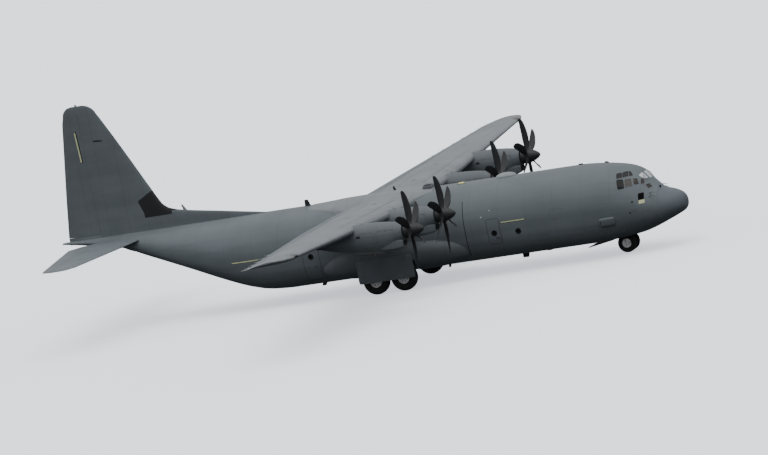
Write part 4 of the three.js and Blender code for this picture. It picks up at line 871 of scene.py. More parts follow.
parts = []
for _, sign in SIDES:
    rings = []
    for y in (1.0, 4.2, 7.35):
        _, leading, trailing, thick = row_at(TAILPLANE, y)
        s, offset = tail_nose(leading, trailing, thick / 2)
        rings.append(place(s, sign * y, TAIL_Z + offset))
    parts.append(solid_from_rings(rings))
add_piece("tailplane_leading_edges", control_paint, parts)
print("tailplane leading edge panels:", len(parts))

# %% [markdown]
# The fin grows out of a long low ridge on the hull, and the two meet in one smooth curve. Its skin is
# made new, as rings at constant height: each follows the aerofoil or the ridge, whichever is thicker, and
# closes behind in a hollow that the rudder's round nose turns in. The cap above the rudder is a piece of
# the same shape with its full chord.

# %% Fin
# Front edge of the ridge and the fin. Columns: height, station.
FIN_EDGE = np.array([[4.5, 20.9], [4.82, 22.7], [5.2, 24.95], [5.66, 27.6], [5.84, 28.12], [6.1, 28.41],
                     [6.5, 28.63], [6.99, 28.86], [10.98, 30.85], [11.4, 31.086]])
# The ridge. Columns: station, half thickness at its foot.
RIDGE = np.array([[20.0, 0.03], [22.7, 0.055], [28.0, 0.14], [28.6, 0.17], [29.1, 0.14], [29.9, 0.0],
                  [36, 0.0]])
RUDDER_HINGE = 32.15
RUDDER_FOOT, RUDDER_TOP = 4.97, 11.4
HOLLOW = [0.18, 0.1]  # radius of the hollow for the rudder's nose, at its foot and its top


def fin_half(s, z):
    """Half thickness of the fin's aerofoil at a station and height."""
    _, leading, trailing, half = row_at(FIN, z)
    return half * fin_shape(np.clip((s - leading) / (trailing - leading), 0.0, 1.0))


def ridge_half(s, z):
    """Half thickness of the ridge: full at its foot, rounded at its top edge."""
    top = np.interp(s, FIN_EDGE[:, 1], FIN_EDGE[:, 0])
    down = np.clip((z - 4.5) / np.maximum(top - 4.5, 1e-3), 0.0, 1.0)
    return np.interp(s, RIDGE[:, 0], RIDGE[:, 1]) * np.sqrt(1 - down ** 5)


def fin_side(side):
    """The fin and its ridge as a surface of (station, height)."""
    def at(s, z, out):
        half = (fin_half(s, z) ** 4 + ridge_half(s, z) ** 4) ** 0.25
        return place(s, side * (half + out), z)
    return at


fin_rings = []
for z in np.concatenate([np.linspace(4.5, 7.2, 64), np.linspace(7.3, RUDDER_TOP - 0.001, 28)]):
    front = smooth_rows(FIN_EDGE, z)[0]
    radius = np.interp(z, [RUDDER_FOOT, RUDDER_TOP], HOLLOW)
    # The hollow meets the fin's side at its lip.
    lip = RUDDER_HINGE - np.sqrt(radius ** 2 - (1.03 * fin_half(RUDDER_HINGE, z)) ** 2)
    s = front + (lip - front) * np.linspace(0, 1, 44) ** 2
    sides = [fin_side(sign)(s, z, 0.0) for sign in (-1, 1)]
    reach = np.arcsin(min(1.0, fin_half(lip, z) / radius))
    turn = np.linspace(-reach, reach, 13)[1:-1]
    hollow = place(RUDDER_HINGE - radius * np.cos(turn), radius * np.sin(turn), z)
    fin_rings.append(np.concatenate([sides[0], hollow, sides[1][:0:-1]]))
add_piece("fin_skin", tail_paint, [solid_from_rings(fin_rings)], replaced=["fin"])
cap_rings = []
for z in (RUDDER_TOP + 0.001, 11.48, 11.55, 11.63, 11.71, 11.79, 11.825, 11.85):
    leading, trailing, half = smooth_rows(FIN, z)
    part = np.linspace(0, 1, 40) ** 2
    s = leading + part * (trailing - leading)
    sides = [place(s, sign * np.maximum(half * fin_shape(part), 0.006 * (part > 0)), z) for sign in (-1, 1)]
    cap_rings.append(np.concatenate([sides[0], sides[1][:0:-1]]))
add_piece("fin_cap", tail_paint, [solid_from_rings(cap_rings)])
FILLET_TOP = RUDDER_FOOT - 0.013
fillet_rings = []
s = np.linspace(RUDDER_HINGE - 0.1, 33.95, 26)
for z in (4.6, 4.8, 4.9, FILLET_TOP):
    wider = 1 + 0.5 * (FILLET_TOP - z) / 0.36
    half = np.maximum(fin_half(s, RUDDER_FOOT) * wider, 0.006)
    fillet_rings.append(np.concatenate([place(s, -half, z), place(s, half, z)[::-1]]))
add_piece("tail_cone_fillet", tail_paint, [solid_from_rings(fillet_rings)])
print("fin rings:", len(fin_rings), "cap rings:", len(cap_rings))

# %% [markdown]
# ## Nacelles
# Each engine sits in a long pod under and ahead of the wing. The pod is a loft of ovals, round behind
# the spinner and deep in the middle. Under the spinner hangs the air intake, a smile-shaped mouth with a
# rounded lip, and the jet pipe leaves at the back. All four pods are the same, so one loop makes them.

# %% Nacelle shapes
# Columns: name, y, height of the propeller's axis.
ENGINES = [("left_outer", 10.11, 4.26), ("left_inner", 4.91, 4.03),
           ("right_inner", -4.91, 4.03), ("right_outer", -10.11, 4.26)]
# Columns: station, top above the axis, bottom below the axis, half width, widest height above the axis.
NACELLE = np.array([
    [11.84, 0.42, 0.42, 0.42, 0.0],
    [12.1, 0.5, 0.56, 0.5, -0.04],
    [12.6, 0.58, 0.88, 0.58, -0.12],
    [13.3, 0.64, 0.955, 0.625, -0.15],
    [14.2, 0.66, 0.87, 0.625, -0.14],
    [15.0, 0.55, 0.69, 0.555, -0.14],
    [15.8, 0.3, 0.52, 0.42, -0.15],
    [16.4, 0.08, 0.36, 0.27, -0.15],
])
# Air intake. Columns: station, roof and bottom below the axis, half width.
SCOOP = np.array([
    [11.88, 0.41, 0.74, 0.36],
    [12.0, 0.38, 0.785, 0.4],
    [12.3, 0.3, 0.85, 0.48],
    [12.75, 0.2, 0.87, 0.51],
    [13.1, 0.18, 0.84, 0.45],
    [13.5, 0.18, 0.78, 0.36],
])
oval_angle = np.linspace(0, 2 * np.pi, 48, endpoint=False)


def nacelle_ring(s, y, axis, inset=0.0):
    """An oval: y + half * cos a, and axis + mid + height * sin a with its own height above and below."""
    top, bottom, half, mid = smooth_rows(NACELLE, s)
    w = np.sin(oval_angle)
    tall = np.where(w >= 0, top - mid, bottom + mid) - inset
    return place(s, y + (half - inset) * np.cos(oval_angle), axis + mid + tall * w)


def scoop_ring(s, y, axis, inset=0.0, shift=0.0):
    """A smile: a rounded box whose roof curves with the spinner: z falls from the roof by |cos a|^2."""
    roof, bottom, half = smooth_rows(SCOOP, s)
    c, w = np.cos(oval_angle), np.sin(oval_angle)
    across = np.sign(c) * np.abs(c) ** 0.7 * (half - inset)
    mid = (roof + bottom) / 2
    tall = (bottom - roof) / 2 - inset
    drop = 0.1 * (across / half) ** 2 * np.where(w > 0, 1.0, -0.75)
    return place(s + shift, y + across, axis - mid + np.sign(w) * np.abs(w) ** 0.7 * tall + drop)


nacelle_stations = np.concatenate([np.linspace(11.84, 13.3, 14), np.linspace(13.5, 16.4, 18)])
SCOOP_STATIONS = (13.5, 13.3, 13.1, 12.95, 12.75, 12.5, 12.3, 12.15, 12.0, 11.93, 11.89)
SOOT = tuple(place([16.6, 15.1], 0, 0)[:, 0].tolist())  # x of the jet pipe, and x where its stain ends
nacelle_paint = {}
for name, y, axis in ENGINES:
    nacelle_paint[name] = polyurethane_paint(
        f"matt_grey_polyurethane_on_nacelle_{name}", "#676d71", 0.82 * SCALE, 0.94 * SCALE,
        (y * SCALE, axis * SCALE, 0.6 * SCALE), soot=SOOT, seam_tone=0.28)
    rings = [nacelle_ring(11.87, y, axis, 0.06), nacelle_ring(11.845, y, axis, 0.03)]
    rings += [nacelle_ring(s, y, axis) for s in nacelle_stations]
    rings += [nacelle_ring(16.39, y, axis, 0.04), nacelle_ring(16.2, y, axis, 0.06)]
    add_piece(f"nacelle_{name}_cowl", nacelle_paint[name], [solid_from_rings(rings)],
              replaced=[f"nacelle_{name}"])
    outer = [scoop_ring(s, y, axis) for s in SCOOP_STATIONS]
    lip = [scoop_ring(11.88, y, axis, 0.012, -0.012), scoop_ring(11.88, y, axis, 0.03, -0.014),
           scoop_ring(11.88, y, axis, 0.045, 0.0)]
    add_piece(f"intake_{name}_lip", nacelle_paint[name], [solid_from_rings(outer + lip)], angle=50)
    # The throat is a thin black plug just inside the lip: painted shade of the intake's duct.
    throat = [scoop_ring(11.88, y, axis, 0.046, -0.006), scoop_ring(11.88, y, axis, 0.05, -0.008)]
    add_piece(f"intake_{name}_throat", black_rubber_and_hole_shade, [solid_from_rings(throat)])
print("nacelles:", len(nacelle_paint))

# %% [markdown]
# The jet pipe is a short flared tube of heat-darkened steel. It is a turned profile that goes out along
# its outer wall, round the rim and back down the inside, so it has a real thickness.

# %% Jet pipes
# Columns: radius, distance aft of the nacelle's end.
PIPE_WALL = [(0.15, -0.5), (0.2, -0.1), (0.215, 0.1), (0.225, 0.2), (0.215, 0.203), (0.2, 0.1),
             (0.17, -0.2), (0.02, -0.24)]
for name, y, axis in ENGINES:
    flared = lathe(PIPE_WALL, place(16.4, y, axis - 0.14), (-1, 0, 0.06), 40)
    add_piece(f"jet_pipe_{name}", dark_metal, [flared], "engine_metal")
    frame["nodes"][f"engine_{name}"].data.materials[0] = dark_metal
print("jet pipes:", len(ENGINES))

# %% [markdown]
# ## Propellers
# Each propeller has six curved blades of composite, matt black. A blade is a stack of thin aerofoils: it
# is thick, narrow and steep at the root, widest at mid span, and its tip is swept back like a sabre.
# The spinner is a profile turned about the shaft; it is interpolated over the root of the distance from
# the tip, which makes the tip round instead of sharp.

# %% Propellers
# Columns: radius, chord, thickness, pitch in degrees, sweep back of the middle of the chord.
BLADE = np.array([
    [0.2, 0.19, 0.17, 64, 0.0],
    [0.36, 0.19, 0.15, 60, 0.0],
    [0.5, 0.25, 0.1, 55, 0.01],
    [0.75, 0.345, 0.062, 48, 0.025],
    [1.1, 0.39, 0.045, 41, 0.03],
    [1.6, 0.365, 0.03, 32, -0.02],
    [1.93, 0.26, 0.02, 27, -0.09],
    [2.02, 0.17, 0.016, 25.5, -0.13],
    [2.055, 0.06, 0.012, 25, -0.16],
])
BLADE_BOW = 0.35  # how much fuller a section is in front than behind
# Spinner. Columns: distance behind the tip (its root is taken), radius.
SPINNER = np.array([[0.0, 0.0], [0.05, 0.095], [0.21, 0.215], [0.46, 0.325], [0.72, 0.372], [1.02, 0.37]])
SPINNER_LENGTH = 1.02
SHAFT_STATION = 11.45
SPINNER_BASE = 11.78
BLADES = 6


def blade_section(radius, turn, bow=BLADE_BOW, out=0.0):
    """An aerofoil at one radius, moved out by a distance and turned by its pitch: along = chord / 2 * cos a
    and through = thickness / 2 * sin a * (1 + bow * cos a)."""
    chord, thick, pitch, sweep = smooth_rows(BLADE, radius)
    along = (chord / 2 + out) * np.cos(turn) + sweep
    through = (thick / 2 + out) * np.sin(turn) * (1 + bow * np.cos(turn))
    lean = np.radians(pitch)
    x = along * np.sin(lean) + through * np.cos(lean)
    y = along * np.cos(lean) - through * np.sin(lean)
    return np.stack([x, y, np.full_like(x, radius)], -1) * SCALE


def round_hub(shape, y, axis):
    """One blade's shape, copied to every blade of the propeller whose shaft is at y and that height."""
    points, faces = shape
    copies = []
    for turn in np.arange(BLADES) * 2 * math.pi / BLADES:
        px, py, pz = points.T
        turned_points = np.stack([px, py * math.cos(turn) - pz * math.sin(turn),
                                  py * math.sin(turn) + pz * math.cos(turn)], -1)
        copies.append((turned_points + place(SHAFT_STATION, y, axis), faces))
    return copies


full_turn = np.linspace(0, 2 * np.pi, 28, endpoint=False)
blade_radii = np.concatenate([np.linspace(0.2, 1.9, 30), [1.95, 1.99, 2.02, 2.04, 2.052, 2.055]])
# A section is oval at the root and takes on its bow between the radii 0.35 and 0.6.
blade = solid_from_rings([blade_section(r, full_turn, BLADE_BOW * np.clip((r - 0.35) / 0.25, 0, 1))
                          for r in blade_radii])
COLLAR = [(0.0, 0.3), (0.125, 0.3), (0.13, 0.365), (0.112, 0.39), (0.1, 0.395), (0.0, 0.4)]
collar = lathe(COLLAR, (0, 0, 0), (0, 0, 1), 28)
spinner_rows = SPINNER.copy()
spinner_rows[:, 0] = np.sqrt(spinner_rows[:, 0])
spinner_steps = np.linspace(0.02, math.sqrt(SPINNER_LENGTH), 34)
spinner_wall = [(smooth_rows(spinner_rows, t)[0], -t ** 2) for t in spinner_steps]
spinner_wall += [(0.365, -1.022), (0.1, -1.02)]
for name, y, axis in ENGINES:
    body = f"propeller_{name}"
    add_piece(f"{body}_blades", propeller_black, round_hub(blade, y, axis) + round_hub(collar, y, axis),
              "propeller_composite", body, [body], 50)
    spinner = lathe(spinner_wall, place(SPINNER_BASE - SPINNER_LENGTH, y, axis), (1, 0, 0), 56)
    add_piece(f"{body}_spinner", spinner_black, [spinner], "propeller_composite", body)
print("propellers:", len(ENGINES), "with", BLADES * len(blade[1]), "blade faces each")

# %% [markdown]
# ## Wheels
# Aircraft tyres have a flat tread with a few grooves round it and no pattern across, because they only
# ever roll straight on. The wheel is a forged half with a ring of cooling holes, bolts and a hub cap.
# Both are turned profiles. The tyre's profile closes on itself, so the tyre is a ring with a wall.

# %% Tyres
# The wheels. Columns: pattern of the pieces' names, station, y, radius, width, rim's radius, body.
MAIN_AXLES = (("front", 15.15), ("rear", 16.69))
MAIN_TRACK, NOSE_TRACK = 2.2, 0.29
NOSE_STATION, NOSE_RADIUS = 3.53, 0.495
WHEELS = []
for side, sign in SIDES:
    for axle, s in MAIN_AXLES:
        WHEELS.append((f"main_{{}}_{axle}_{side}", s, sign * MAIN_TRACK, 0.71, 0.46, 0.32,
                       f"main_wheel_{axle}_{side}"))
    WHEELS.append((f"nose_{{}}_{side}", NOSE_STATION, sign * NOSE_TRACK, NOSE_RADIUS, 0.3, 0.24,
                   "nose_wheels"))
GROOVE = 0.013
# Half the tyre's section. Rows: parts of the half width; depth below the tread on the crown, in metres;
# and depth down the shoulder and the side wall, which is scaled so that 0.66 reaches the rim.
TYRE_ACROSS = [0.0, 0.055, 0.06, 0.085, 0.09, 0.2, 0.205, 0.23, 0.235, 0.38, 0.5, 0.7, 0.86, 0.96, 1.0, 0.98,
               0.9, 0.8]
TYRE_CROWN = [0, 0, GROOVE, GROOVE, 0, 0, GROOVE, GROOVE, 0]
TYRE_WALL = [0.002, 0.008, 0.035, 0.09, 0.17, 0.3, 0.5, 0.62, 0.66]
TYRE_FOOT = TYRE_WALL[-1]


def tyre_profile(radius, width, rim):
    """Half the tyre from the tread's middle outwards, then its mirror; the tread has four grooves."""
    down = np.concatenate([TYRE_CROWN, np.array(TYRE_WALL) * (radius - rim) / TYRE_FOOT])
    right = np.stack([radius - down, np.array(TYRE_ACROSS) * width / 2], -1)
    return np.concatenate([right[:0:-1] * [1, -1], right])


for name, s, y, radius, width, rim_radius, body in WHEELS:
    profile = tyre_profile(radius, width, rim_radius) * SCALE
    rings = turned(profile, place(s, y, radius), (0, 1, 0), 96)
    closed = np.concatenate([rings, rings[:1]])  # the first ring again, so that the wall closes
    tyre = name.format("tyre")
    add_piece(f"{tyre}_tread", tyre_rubber, [(closed, grid_faces(*closed.shape[:2]))], "tyre_rubber", body,
              [tyre], 50)
print("tyres:", len(WHEELS))

# %% [markdown]
# A wheel's face is dished, with a hub cap in its middle. The cooling holes are black cups, painted shade
# of the holes, and the bolts are six-sided heads, both set on rings round the hub.

# %% Wheels
# Outer face of a wheel. Columns: part of the rim's radius, distance from the middle in half widths.
WHEEL_FACE = [(0.0, -0.62), (0.985, -0.62), (1.0, -0.8), (1.035, -0.84), (1.035, -0.76), (0.96, -0.7),
              (0.96, 0.66), (1.035, 0.76), (1.035, 0.84), (1.0, 0.8), (0.93, 0.7), (0.88, 0.45), (0.8, 0.3),
              (0.55, 0.24), (0.42, 0.34), (0.38, 0.5), (0.33, 0.58), (0.2, 0.6), (0.18, 0.66), (0.0, 0.68)]
HOLE_CUP = [(0.0, -0.004), (0.03, -0.004), (0.034, 0.004), (0.03, 0.008), (0.026, 0.002), (0.0, 0.001)]
BOLT_HEAD = [(0.0, -0.01), (0.011, -0.01), (0.011, 0.012), (0.008, 0.016), (0.0, 0.017)]
BOLTS = 12


def ring_of(profile, count, radius, offset, centre, axis, start=0.0, sides=6):
    """Small turned parts, spread evenly round an axle that runs along y."""
    parts = []
    for a in np.arange(count) * 2 * np.pi / count + start:
        middle = centre + np.array([radius * math.cos(a), axis[1] * offset, radius * math.sin(a)]) * SCALE
        parts.append(lathe(profile, middle, axis, sides))
    return parts


for name, s, y, radius, width, rim_radius, body in WHEELS:
    centre, axis, half = place(s, y, radius), (0, np.sign(y), 0.0), width / 2
    if body == "nose_wheels":
        holes, replaced = 3, ["nose_hubs"] if y > 0 else []
    else:
        holes, replaced = 9, [name.format("rim")]
    face = lathe(np.array(WHEEL_FACE) * [rim_radius, half], centre, axis, 72)
    forging = name.format("wheel") + "_forging"
    add_piece(forging, wheel_paint, [face], "wheel_paint", body, replaced, 30)
    cup = np.array(HOLE_CUP) * [rim_radius / 0.32, 1]  # drawn for the main wheel's rim
    cups = ring_of(cup, holes, rim_radius * 0.68, half * 0.27, centre, axis, sides=18)
    bolts = ring_of(BOLT_HEAD, BOLTS, rim_radius * 0.47, half * 0.31, centre, axis, 0.2)
    # The cups' black is painted shade of the cooling holes.
    add_piece(forging + "_cooling_holes", black_rubber_and_hole_shade, cups, "wheel_paint", body)
    add_piece(forging + "_bolts", bare_steel, bolts, "wheel_paint", body, angle=30)
print("wheels:", len(WHEELS))

# %% [markdown]
# ## Gear bays, legs and cabin
# The bulges beside the belly house the main wheels; their outer doors hang down like skirts. These
# pieces are straight or simply rounded, so their solids are right as they are. They only need smooth
# shading where they curve, and paint.

# %% Sponsons, doors, legs and floors
MAIN_BAY = (14.25, 17.58, 2.52, 1.62)  # from and to station, outer y and roof of a main wheel bay
for side, _ in SIDES:
    sponson = smooth_skin(f"sponson_{side}", sponson_paint, angle=40)
    sponson.data.materials.append(bay_paint)
    for face in sponson.data.polygons:
        s, y, z = real(np.array(face.center))
        if MAIN_BAY[0] < s < MAIN_BAY[1] and abs(y) < MAIN_BAY[2] and z < MAIN_BAY[3]:
            face.material_index = 1
    smooth_skin(f"main_gear_legs_{side}", gear_paint, "gear_steel", 40)
frame["nodes"]["cargo_floor"].data.materials[0] = floor_plate
frame["nodes"]["flight_deck"].data.materials[0] = lining
print("plain pieces painted")

# %% [markdown]
# ## Windows
# Windows, lamps, access panels and antennas all sit on a curved skin. Each is a plate that follows the
# hull: an outline in two of the hull's own measures, filled with rings from its middle to its edge and
# closed below the surface. Cutting such plates out of the skin by hand would leave ragged edges.

# %% Plates on the hull


def hull_normal(s, y, z):
    """Outward unit normal of the hull in (s, y, z): the gradient of hull_level by central differences."""
    h = 1e-3
    slope = np.stack([hull_level(s + h, y, z)[0] - hull_level(s - h, y, z)[0],
                      hull_level(s, y + h, z)[0] - hull_level(s, y - h, z)[0],
                      hull_level(s, y, z + h)[0] - hull_level(s, y, z - h)[0]], -1)
    return slope / np.linalg.norm(slope, axis=-1, keepdims=True)


def lifted(s, y, z, out):
    """A hull point moved out along the hull's normal, as a model point."""
    n = hull_normal(s, y, z)
    return place(s + n[..., 0] * out, y + n[..., 1] * out, z + n[..., 2] * out)


def side_wall(side):
    """The hull's side as a surface of (station, height)."""
    return lambda s, z, out: lifted(s, hull_y(s, z, side), z, out)


def front_wall(side):
    """The hull's front, above the radome, as a surface of (y, height)."""
    return lambda y, z, out: lifted(hull_s(y, z), side * y, z, out)


def crown(top):
    """The hull's top or bottom as a surface of (station, y): dz = height * (1 - |y / half|^p)^(1 / p)."""
    def at(s, y, out):
        high, low, half, mid, upper, lower = hull_rows(s)
        power, tall = (upper, high - mid) if top else (lower, low - mid)
        return lifted(s, y, mid + tall * np.maximum(1 - np.abs(y / half) ** power, 0) ** (1 / power), out)
    return at


print("the front wall above the radome is at station", hull_s(np.array(0.0), np.array(3.4)).round(3))

# %% [markdown]
# An outline is a closed row of points in two of a surface's measures. Its points are spread evenly, so
# that a plate's edge is as smooth at a rounded corner as along a side.

# %% Outlines


def evenly(outline, count):
    """A closed outline's points spread evenly along its length."""
    closed = np.concatenate([outline, outline[:1]])
    length = np.concatenate([[0], np.cumsum(np.linalg.norm(np.diff(closed, axis=0), axis=1))])
    where = np.linspace(0, length[-1], count, endpoint=False)
    return np.stack([np.interp(where, length, closed[:, k]) for k in (0, 1)], -1)


def rounded(corners, count=56, power=9.0):
    """A quad with rounded corners: the curve |u|^p + |v|^p = 1, spread over the quad by bilinear weights."""
    a = np.linspace(0, 2 * np.pi, 720, endpoint=False)
    c, w = np.cos(a), np.sin(a)
    u = (1 + np.sign(c) * np.abs(c) ** (2 / power)) / 2
    v = (1 + np.sign(w) * np.abs(w) ** (2 / power)) / 2
    low_left, low_right, high_right, high_left = np.asarray(corners, float)[:, None]
    u, v = u[:, None], v[:, None]
    return evenly((1 - u) * (1 - v) * low_left + u * (1 - v) * low_right + u * v * high_right
                  + (1 - u) * v * high_left, count)


def box_outline(a0, a1, b0, b1, count=56, power=9.0):
    """A rounded rectangle between two values of each measure."""
    return rounded([(a0, b0), (a1, b0), (a1, b1), (a0, b1)], count, power)


def disc_outline(a, b, radius, count=36):
    """A circle."""
    turn = np.linspace(0, 2 * np.pi, count, endpoint=False)
    return np.stack([a + radius * np.cos(turn), b + radius * np.sin(turn)], -1)


def grow(outline, width):
    """The outline moved outwards: each point goes along the normal of the chord between its neighbours."""
    chord = np.roll(outline, -1, 0) - np.roll(outline, 1, 0)
    normal = np.stack([chord[:, 1], -chord[:, 0]], -1) / np.linalg.norm(chord, axis=1, keepdims=True)
    turn = np.sum(outline[:, 0] * np.roll(outline[:, 1], -1) - np.roll(outline[:, 0], -1) * outline[:, 1])
    return outline + normal * width * np.sign(turn)


print("an even rounded box has", len(box_outline(0, 1, 0, 1)), "points")

# %% [markdown]
# A plate fills an outline and a rim frames it. Both are made in one way on every surface: the hull, the
# fin, the wing, a nacelle or a flat door. Only the heights of their layers differ.

# %% Plates and rims


def plate(surface, outline, layers):
    """A solid plate. layers: (part of the outline, height above the surface), from middle to foot."""
    middle = outline.mean(0)
    rings = [surface(*(middle + (outline - middle) * part).T, out) for part, out in layers]
    return solid_from_rings(rings)


def flat_plate(surface, outline, out):
    """A plate of one height with a small rounded edge."""
    return plate(surface, outline, [(0.02, out), (0.35, out), (0.7, out), (0.96, out), (0.99, out * 0.8),
                                    (1.0, out * 0.4), (1.0, -0.012)])


def rim(surface, outline, profile):
    """A frame round an outline. profile: (distance outwards, height), closed on itself."""
    rings = np.array([surface(*grow(outline, width).T, out) for width, out in profile + profile[:1]])
    return rings.reshape(-1, 3), grid_faces(len(rings), rings.shape[1])


def bead(half, low, high):
    """A rim's profile with a flat top: its half width, and the heights of its foot and its top."""
    return [(-half, low), (-half, high), (half, high), (half, low)]


def lid(out, edge=0.0, foot=-0.01, start=0.05, flat=0.8):
    """Layers of a thin plate: flat over most of it, then sloping to its edge's height and into the skin."""
    return [(start, out), (flat, out), (1.0, edge), (1.0, foot)]


def on_sides(*outlines, signs=(1, -1)):
    """The outlines on each side of the hull, as pairs of a surface and an outline."""
    return [(side_wall(sign), outline) for sign in signs for outline in outlines]


def each(make, places, layers):
    """The same kind of plate or rim at each of several places."""
    return [make(surface, outline, layers) for surface, outline in places]


print("a bead has", len(bead(0.01, 0.0, 0.01)), "corners and a lid", len(lid(0.01)), "layers")

# %% [markdown]
# The flight deck has three panes in front and eight on each side, in thin frames. Each pane lies a few
# millimetres below the skin, inside its opening; only the small quarter pane is laid on it. The glass is
# tinted and very smooth: it shows a mirror of the sky at a flat angle and the dark cockpit at a steep one.

# %% Flight deck panes
# Side panes. Columns: front and rear station of the upper edge, and of the lower edge; height of the
# lower edge, then of the upper edge at its front and its rear.
SIDE_PANES = [
    (2.9, 3.14, 2.88, 3.12, 4.0, 4.22, 4.22),
    (2.6, 2.85, 2.56, 2.83, 4.0, 4.22, 4.22),
    (2.44, 2.55, 2.36, 2.51, 4.0, 4.12, 4.22),
    (2.81, 3.12, 2.73, 3.04, 3.49, 3.92, 3.94),
    (2.42, 2.75, 2.32, 2.67, 3.51, 3.89, 3.91),
    (2.14, 2.36, 2.04, 2.26, 3.54, 3.82, 3.88),
]
# Windscreen panes. Columns: inner and outer y of the upper edge, and of the lower edge; height of the
# upper edge at its inner and outer end, and of the lower edge.
WINDSCREEN_PANES = [
    (-0.3, 0.3, -0.26, 0.26, 4.05, 4.05, 3.65, 3.65),
    (0.38, 0.74, 0.34, 0.72, 4.05, 3.95, 3.68, 3.72),
    (0.62, 0.9, 0.68, 0.96, 3.44, 3.44, 3.25, 3.22),
]
QUARTER_PANE = [(1.97, 3.52), (1.81, 3.5), (1.86, 3.73), (1.99, 3.78)]  # corners as (station, height)
PANE_SINK = -0.008
PANE_LAYERS = [(0.03, PANE_SINK), (0.5, PANE_SINK), (1.02, PANE_SINK), (1.02, PANE_SINK - 0.02)]
LAID_LAYERS = lid(0.002, 0.002, -0.02, 0.03, 0.5)  # a pane laid on the skin
PANE_FRAME = [(-0.006, -0.02), (-0.006, 0.0), (-0.002, 0.004), (0.01, 0.004), (0.014, 0.0), (0.014, -0.02)]
DOUBLER = [(0.0, -0.02), (0.0, 0.0015), (0.04, 0.0015), (0.048, 0.0), (0.048, -0.012)]
sides, roof, ahead = [], [], []
for _, sign in SIDES:
    for front, rear, low_front, low_rear, bottom, top_front, top_rear in SIDE_PANES:
        corners = [(low_front, bottom), (low_rear, bottom), (rear, top_rear), (front, top_front)]
        dark = bottom > 3.9 or rear > 3.1  # the upper row, and the rear pane of the lower row
        (roof if dark else sides).append((side_wall(sign), rounded(corners)))
    for inner, outer, low_inner, low_outer, top, top_outer, bottom, bottom_outer in WINDSCREEN_PANES:
        if inner > 0 or sign > 0:
            corners = [(low_inner, bottom), (low_outer, bottom_outer), (outer, top_outer), (inner, top)]
            shown = ahead if top > 3.6 else sides  # the low corner panes are clear, not heated
            shown.append((front_wall(sign), rounded(corners)))
quarters = on_sides(rounded(QUARTER_PANE))
add_piece("flight_deck_side_panes", window_glass, each(plate, sides, PANE_LAYERS)
          + each(plate, quarters, LAID_LAYERS), "window_glass", replaced=["cockpit_glazing"])
add_piece("flight_deck_roof_panes", roof_glass, each(plate, roof, PANE_LAYERS), "window_glass")
add_piece("flight_deck_windscreen", windscreen_glass, each(plate, ahead, PANE_LAYERS), "window_glass")
add_piece("flight_deck_roof_frames", black_rubber_and_hole_shade, each(rim, roof, PANE_FRAME))
add_piece("flight_deck_window_frames", frame_paint, each(rim, sides + ahead + quarters, PANE_FRAME))
add_piece("flight_deck_window_doublers", fuselage_paint, each(rim, sides + roof + ahead, DOUBLER))
print("flight deck panes:", len(sides + roof + ahead + quarters))

# %% [markdown]
# Small round windows light the hold. They sit in the hull, in the emergency hatch and in both paratroop
# doors. The crew door has one too, which moves with it, so each group is a piece of its own.

# %% Round windows
WINDOW_RADIUS = 0.13
WINDOW_RIM = [(-0.02, -0.03), (-0.02, 0.002), (-0.012, 0.007), (0.022, 0.007), (0.03, 0.0), (0.03, -0.012)]
# Columns: name, station, height, sides, body.
PORTHOLES = [
    ("hold_window", 8.6, 2.2, (1, -1), "airframe"),
    ("hatch_window", 9.9, 2.27, (-1,), "airframe"),
    ("aft_door_window", 20.04, 2.446, (1, -1), "airframe"),
    ("crew_door_window", 5.25, 2.06, (1,), "crew_door"),
]
for name, s, z, signs, body in PORTHOLES:
    places = on_sides(disc_outline(s, z, WINDOW_RADIUS), signs=signs)
    panes = each(plate, places, lid(0.0015, 0.0015, -0.02, 0.02, 0.5))
    add_piece(name + "_panes", dark_window, panes, "window_glass", body)
    add_piece(name + "_rims", black_rubber_and_hole_shade, each(rim, places, WINDOW_RIM), body=body)
print("round windows:", sum(len(row[3]) for row in PORTHOLES))

# %% [markdown]
# ## Small things on the fuselage
# Antennas, lamps, vents and sensors stand on the skin. A blade antenna is a stack of thin lens-shaped
# sections that leans back. The dorsal pod and the sensor boxes are plates whose layers rise in a curve.

# %% Blade antennas and domes


def blade_antenna(root, up_axis, height, root_chord, tip_chord, rake, thickness=0.024):
    """A swept blade: lens sections, thickness * sin a across and chord / 2 * cos a along, root to tip."""
    turn = np.linspace(0, 2 * np.pi, 20, endpoint=False)[:, None]
    up_axis = np.asarray(up_axis, float) / np.linalg.norm(up_axis)
    along = np.array([1.0, 0, 0]) - up_axis * up_axis[0]
    along /= np.linalg.norm(along)
    across = np.cross(up_axis, along)
    rings = []
    for part, shrink in ((-0.12, 1), (0.0, 1), (0.35, 1), (0.7, 1), (0.93, 1), (0.99, 0.93), (1.0, 0.8)):
        chord = root_chord + (tip_chord - root_chord) * max(part, 0)
        thick = thickness * (1 - 0.4 * max(part, 0))
        middle = root + (up_axis * height * part - along * rake * part) * SCALE
        section = np.cos(turn) * along * chord + np.sin(turn) * across * thick
        rings.append(middle + section * SCALE * shrink / 2)
    return solid_from_rings(rings)


PLATE_FOOT = -0.02


def dome_layers(height, steps=9):
    """Layers of a plate that rises like part of a sphere: height * sqrt(1 - part^2)."""
    parts = np.sin(np.linspace(0.03, math.pi / 2, steps))
    return [(p, height * math.sqrt(max(1 - p * p, 0.0))) for p in parts] + [(1.0, PLATE_FOOT)]


def fairing_layers(height):
    """Layers of a low box with a soft shoulder."""
    return [(0.03, height), (0.4, height), (0.72, height * 0.98), (0.82, height * 0.9), (0.9, height * 0.68),
            (0.96, height * 0.34), (1.0, 0.0), (1.02, PLATE_FOOT)]


top_wall, belly_wall = crown(True), crown(False)
UP, DOWN = (0, 0, 1), (0, 0, -1)
